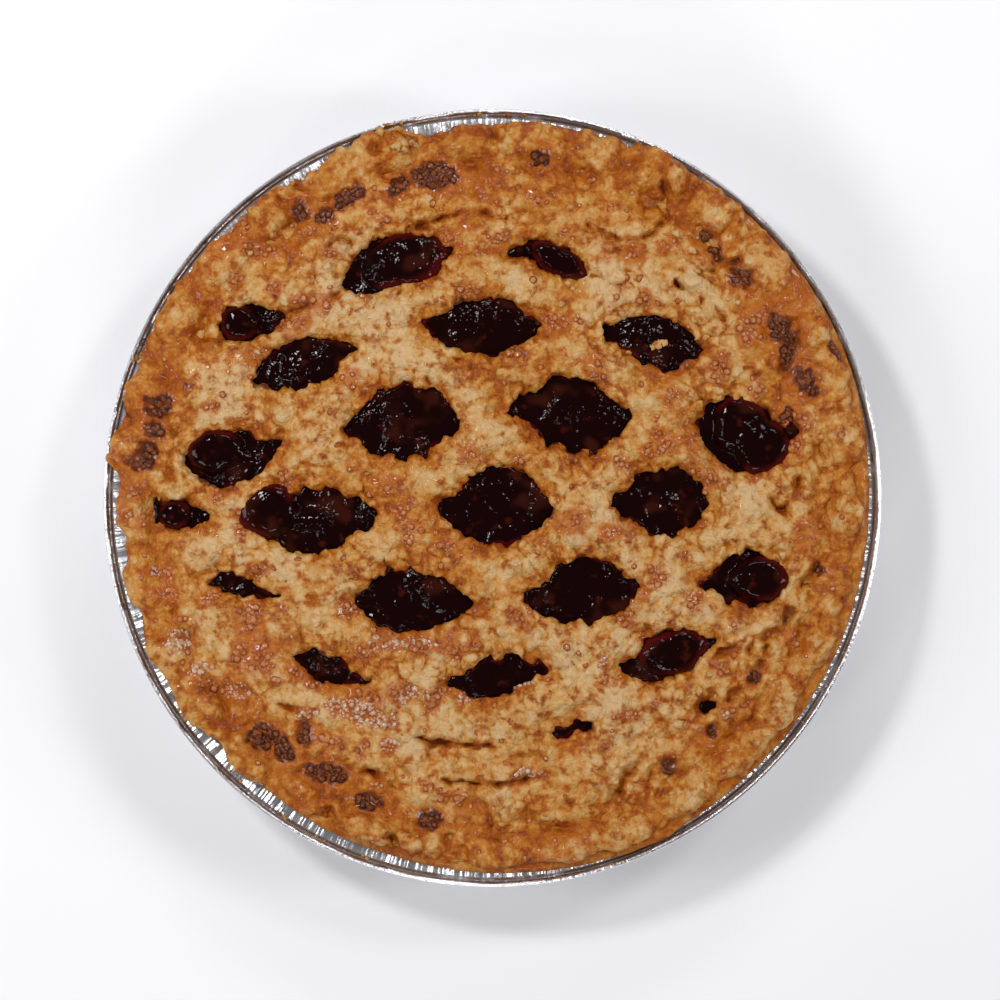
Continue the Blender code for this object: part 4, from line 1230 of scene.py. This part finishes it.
# Painted shade: each lump darkens towards its outer edge, where it meets the lumps beside it.
colour = blend_colour(tree, ranged(tree, outer, 0.45, 0.95), colour, (0.045, 0.008, 0.002, 1.0))
# Pale flecks on the crackle pattern: partly half-melted grains, partly painted highlights.
colour = blend_colour(tree, ranged(tree, crackle, 0.62, 0.74), colour, (0.42, 0.16, 0.06, 1.0))
wire(tree, colour, shader.inputs["Base Color"])
wire(tree, ranged(tree, crackle, 0.3, 0.7, 0.14, 0.34), shader.inputs["Roughness"])
bump = node(tree, "Bump", {"Height": crackle, "Distance": 0.3 * MM, "Strength": 0.4})
wire(tree, bump.outputs["Normal"], shader.inputs["Normal"])
shader.inputs["Specular IOR Level"].default_value = 0.08
shader.inputs["Coat Weight"].default_value = 0.35
shader.inputs["Coat Roughness"].default_value = 0.03
caramel_piece.data.materials.append(caramel)
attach(caramel_piece, "root")


# ---- Unmelted sugar
# Some grains never melted: clear and white crystals, in drifts on the near left of the crust,
# stuck in the glaze.
crystals = strewn(
    "sugar_crystals",
    [worn_grain(seed, 1.0, 0.22) for seed in (8, 9, 10, 16)],
    settled(crust_tree, drifted, 0.25, 0.75, 0.55, -0.1, chance),
)
clear, tree, shader = new_material("clear_sugar")
tone = node(tree, "Attribute", attribute_name="tone").outputs["Fac"]
coords = node(tree, "TexCoord")
crackle = noise(tree, coords.outputs["Object"], 1800.0, 2.0, 0.6)
colour = blend_colour(tree, tone, (0.54, 0.36, 0.25, 1.0), (0.45, 0.22, 0.10, 1.0))
# Painted highlights: pale, near-white flecks on the crackle pattern stand for glints.
colour = blend_colour(tree, ranged(tree, crackle, 0.60, 0.70), colour, (0.82, 0.72, 0.66, 1.0))
wire(tree, colour, shader.inputs["Base Color"])
wire(tree, ranged(tree, crackle, 0.3, 0.7, 0.10, 0.35), shader.inputs["Roughness"])
bump = node(tree, "Bump", {"Height": crackle, "Distance": 0.2 * MM, "Strength": 0.6})
wire(tree, bump.outputs["Normal"], shader.inputs["Normal"])
shader.inputs["Coat Weight"].default_value = 0.50
shader.inputs["Coat Roughness"].default_value = 0.04
crystals.data.materials.append(clear)
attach(crystals, "root")


# ---- Crumbs
# Bits of pastry that broke off the edge: on the tin's bead, in its groove, on the crust and
# one on the filling.
CRUMB_HEAPS = (
    (-4, 112.2, 1.6, 0.4, 0, 3), (4, 112.2, 1.2, 0.4, 0, 3), (10, 111.8, 1.4, 0.4, 0, 2),
    (42, 104.4, 1.6, 0.6, -20, 3), (-61, -93.6, 3.5, 0.4, -33, 5), (-51.5, -99.6, 4.0, 0.4, -28, 5),
    (-37.6, -105.2, 4.0, 0.4, -20, 4), (-91.4, -63, 4.0, 0.4, -56, 4), (-75, -81.6, 4.0, 0.4, -42, 4),
    (-30, 108.5, 4.5, 1.6, 14, 16), (-104, 41, 3.0, 1.2, 70, 8), (-26, 103, 5.0, 2.0, 10, 9),
    (44, 60, 30.0, 20.0, 0, 10), (60, -60, 25.0, 18.0, 0, 10), (-60, 60, 25.0, 20.0, 0, 10),
)
crumb_ground = crust_tree
crumbs_on_crust = []
crumbs_on_foil = []
for spot in scattered(CRUMB_HEAPS, chance):
    start = (spot[0] * MM, spot[1] * MM, 60.0 * MM)
    found = crust_tree.ray_cast(start, (0.0, 0.0, -1.0))[0]
    (crumbs_on_foil if found is None else crumbs_on_crust).append(spot)
foil_tree = BVHTree.FromObject(foil, bpy.context.evaluated_depsgraph_get())
gel_tree = BVHTree.FromObject(filling, bpy.context.evaluated_depsgraph_get())
places = settled(crust_tree, crumbs_on_crust, 0.5, 1.2, 0.6, 0.2, chance)
places += settled(foil_tree, crumbs_on_foil, 0.25, 0.6, 0.5, 0.3, chance)
flake = [(46.6, 44.0), (47.5, 44.5), (48.3, 44.3), (48.5, 45.3), (49.5, 45.5), (50.2, 45.2)]
places += settled(gel_tree, flake, 0.6, 1.0, 0.35, 0.5, chance)
crumbs = strewn("crumbs", [worn_grain(seed, 0.6, 0.34) for seed in (11, 12, 13)], places)
size = len(crumbs.data.vertices)
paint(crumbs, "browning", np.full(size, 0.22))
for name in ("relief", "glaze", "sugar", "juice", "burnt"):
    paint(crumbs, name, np.zeros(size))
crumbs.data.materials.append(pastry_material("crumb_pastry", 0.8))
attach(crumbs, "root")
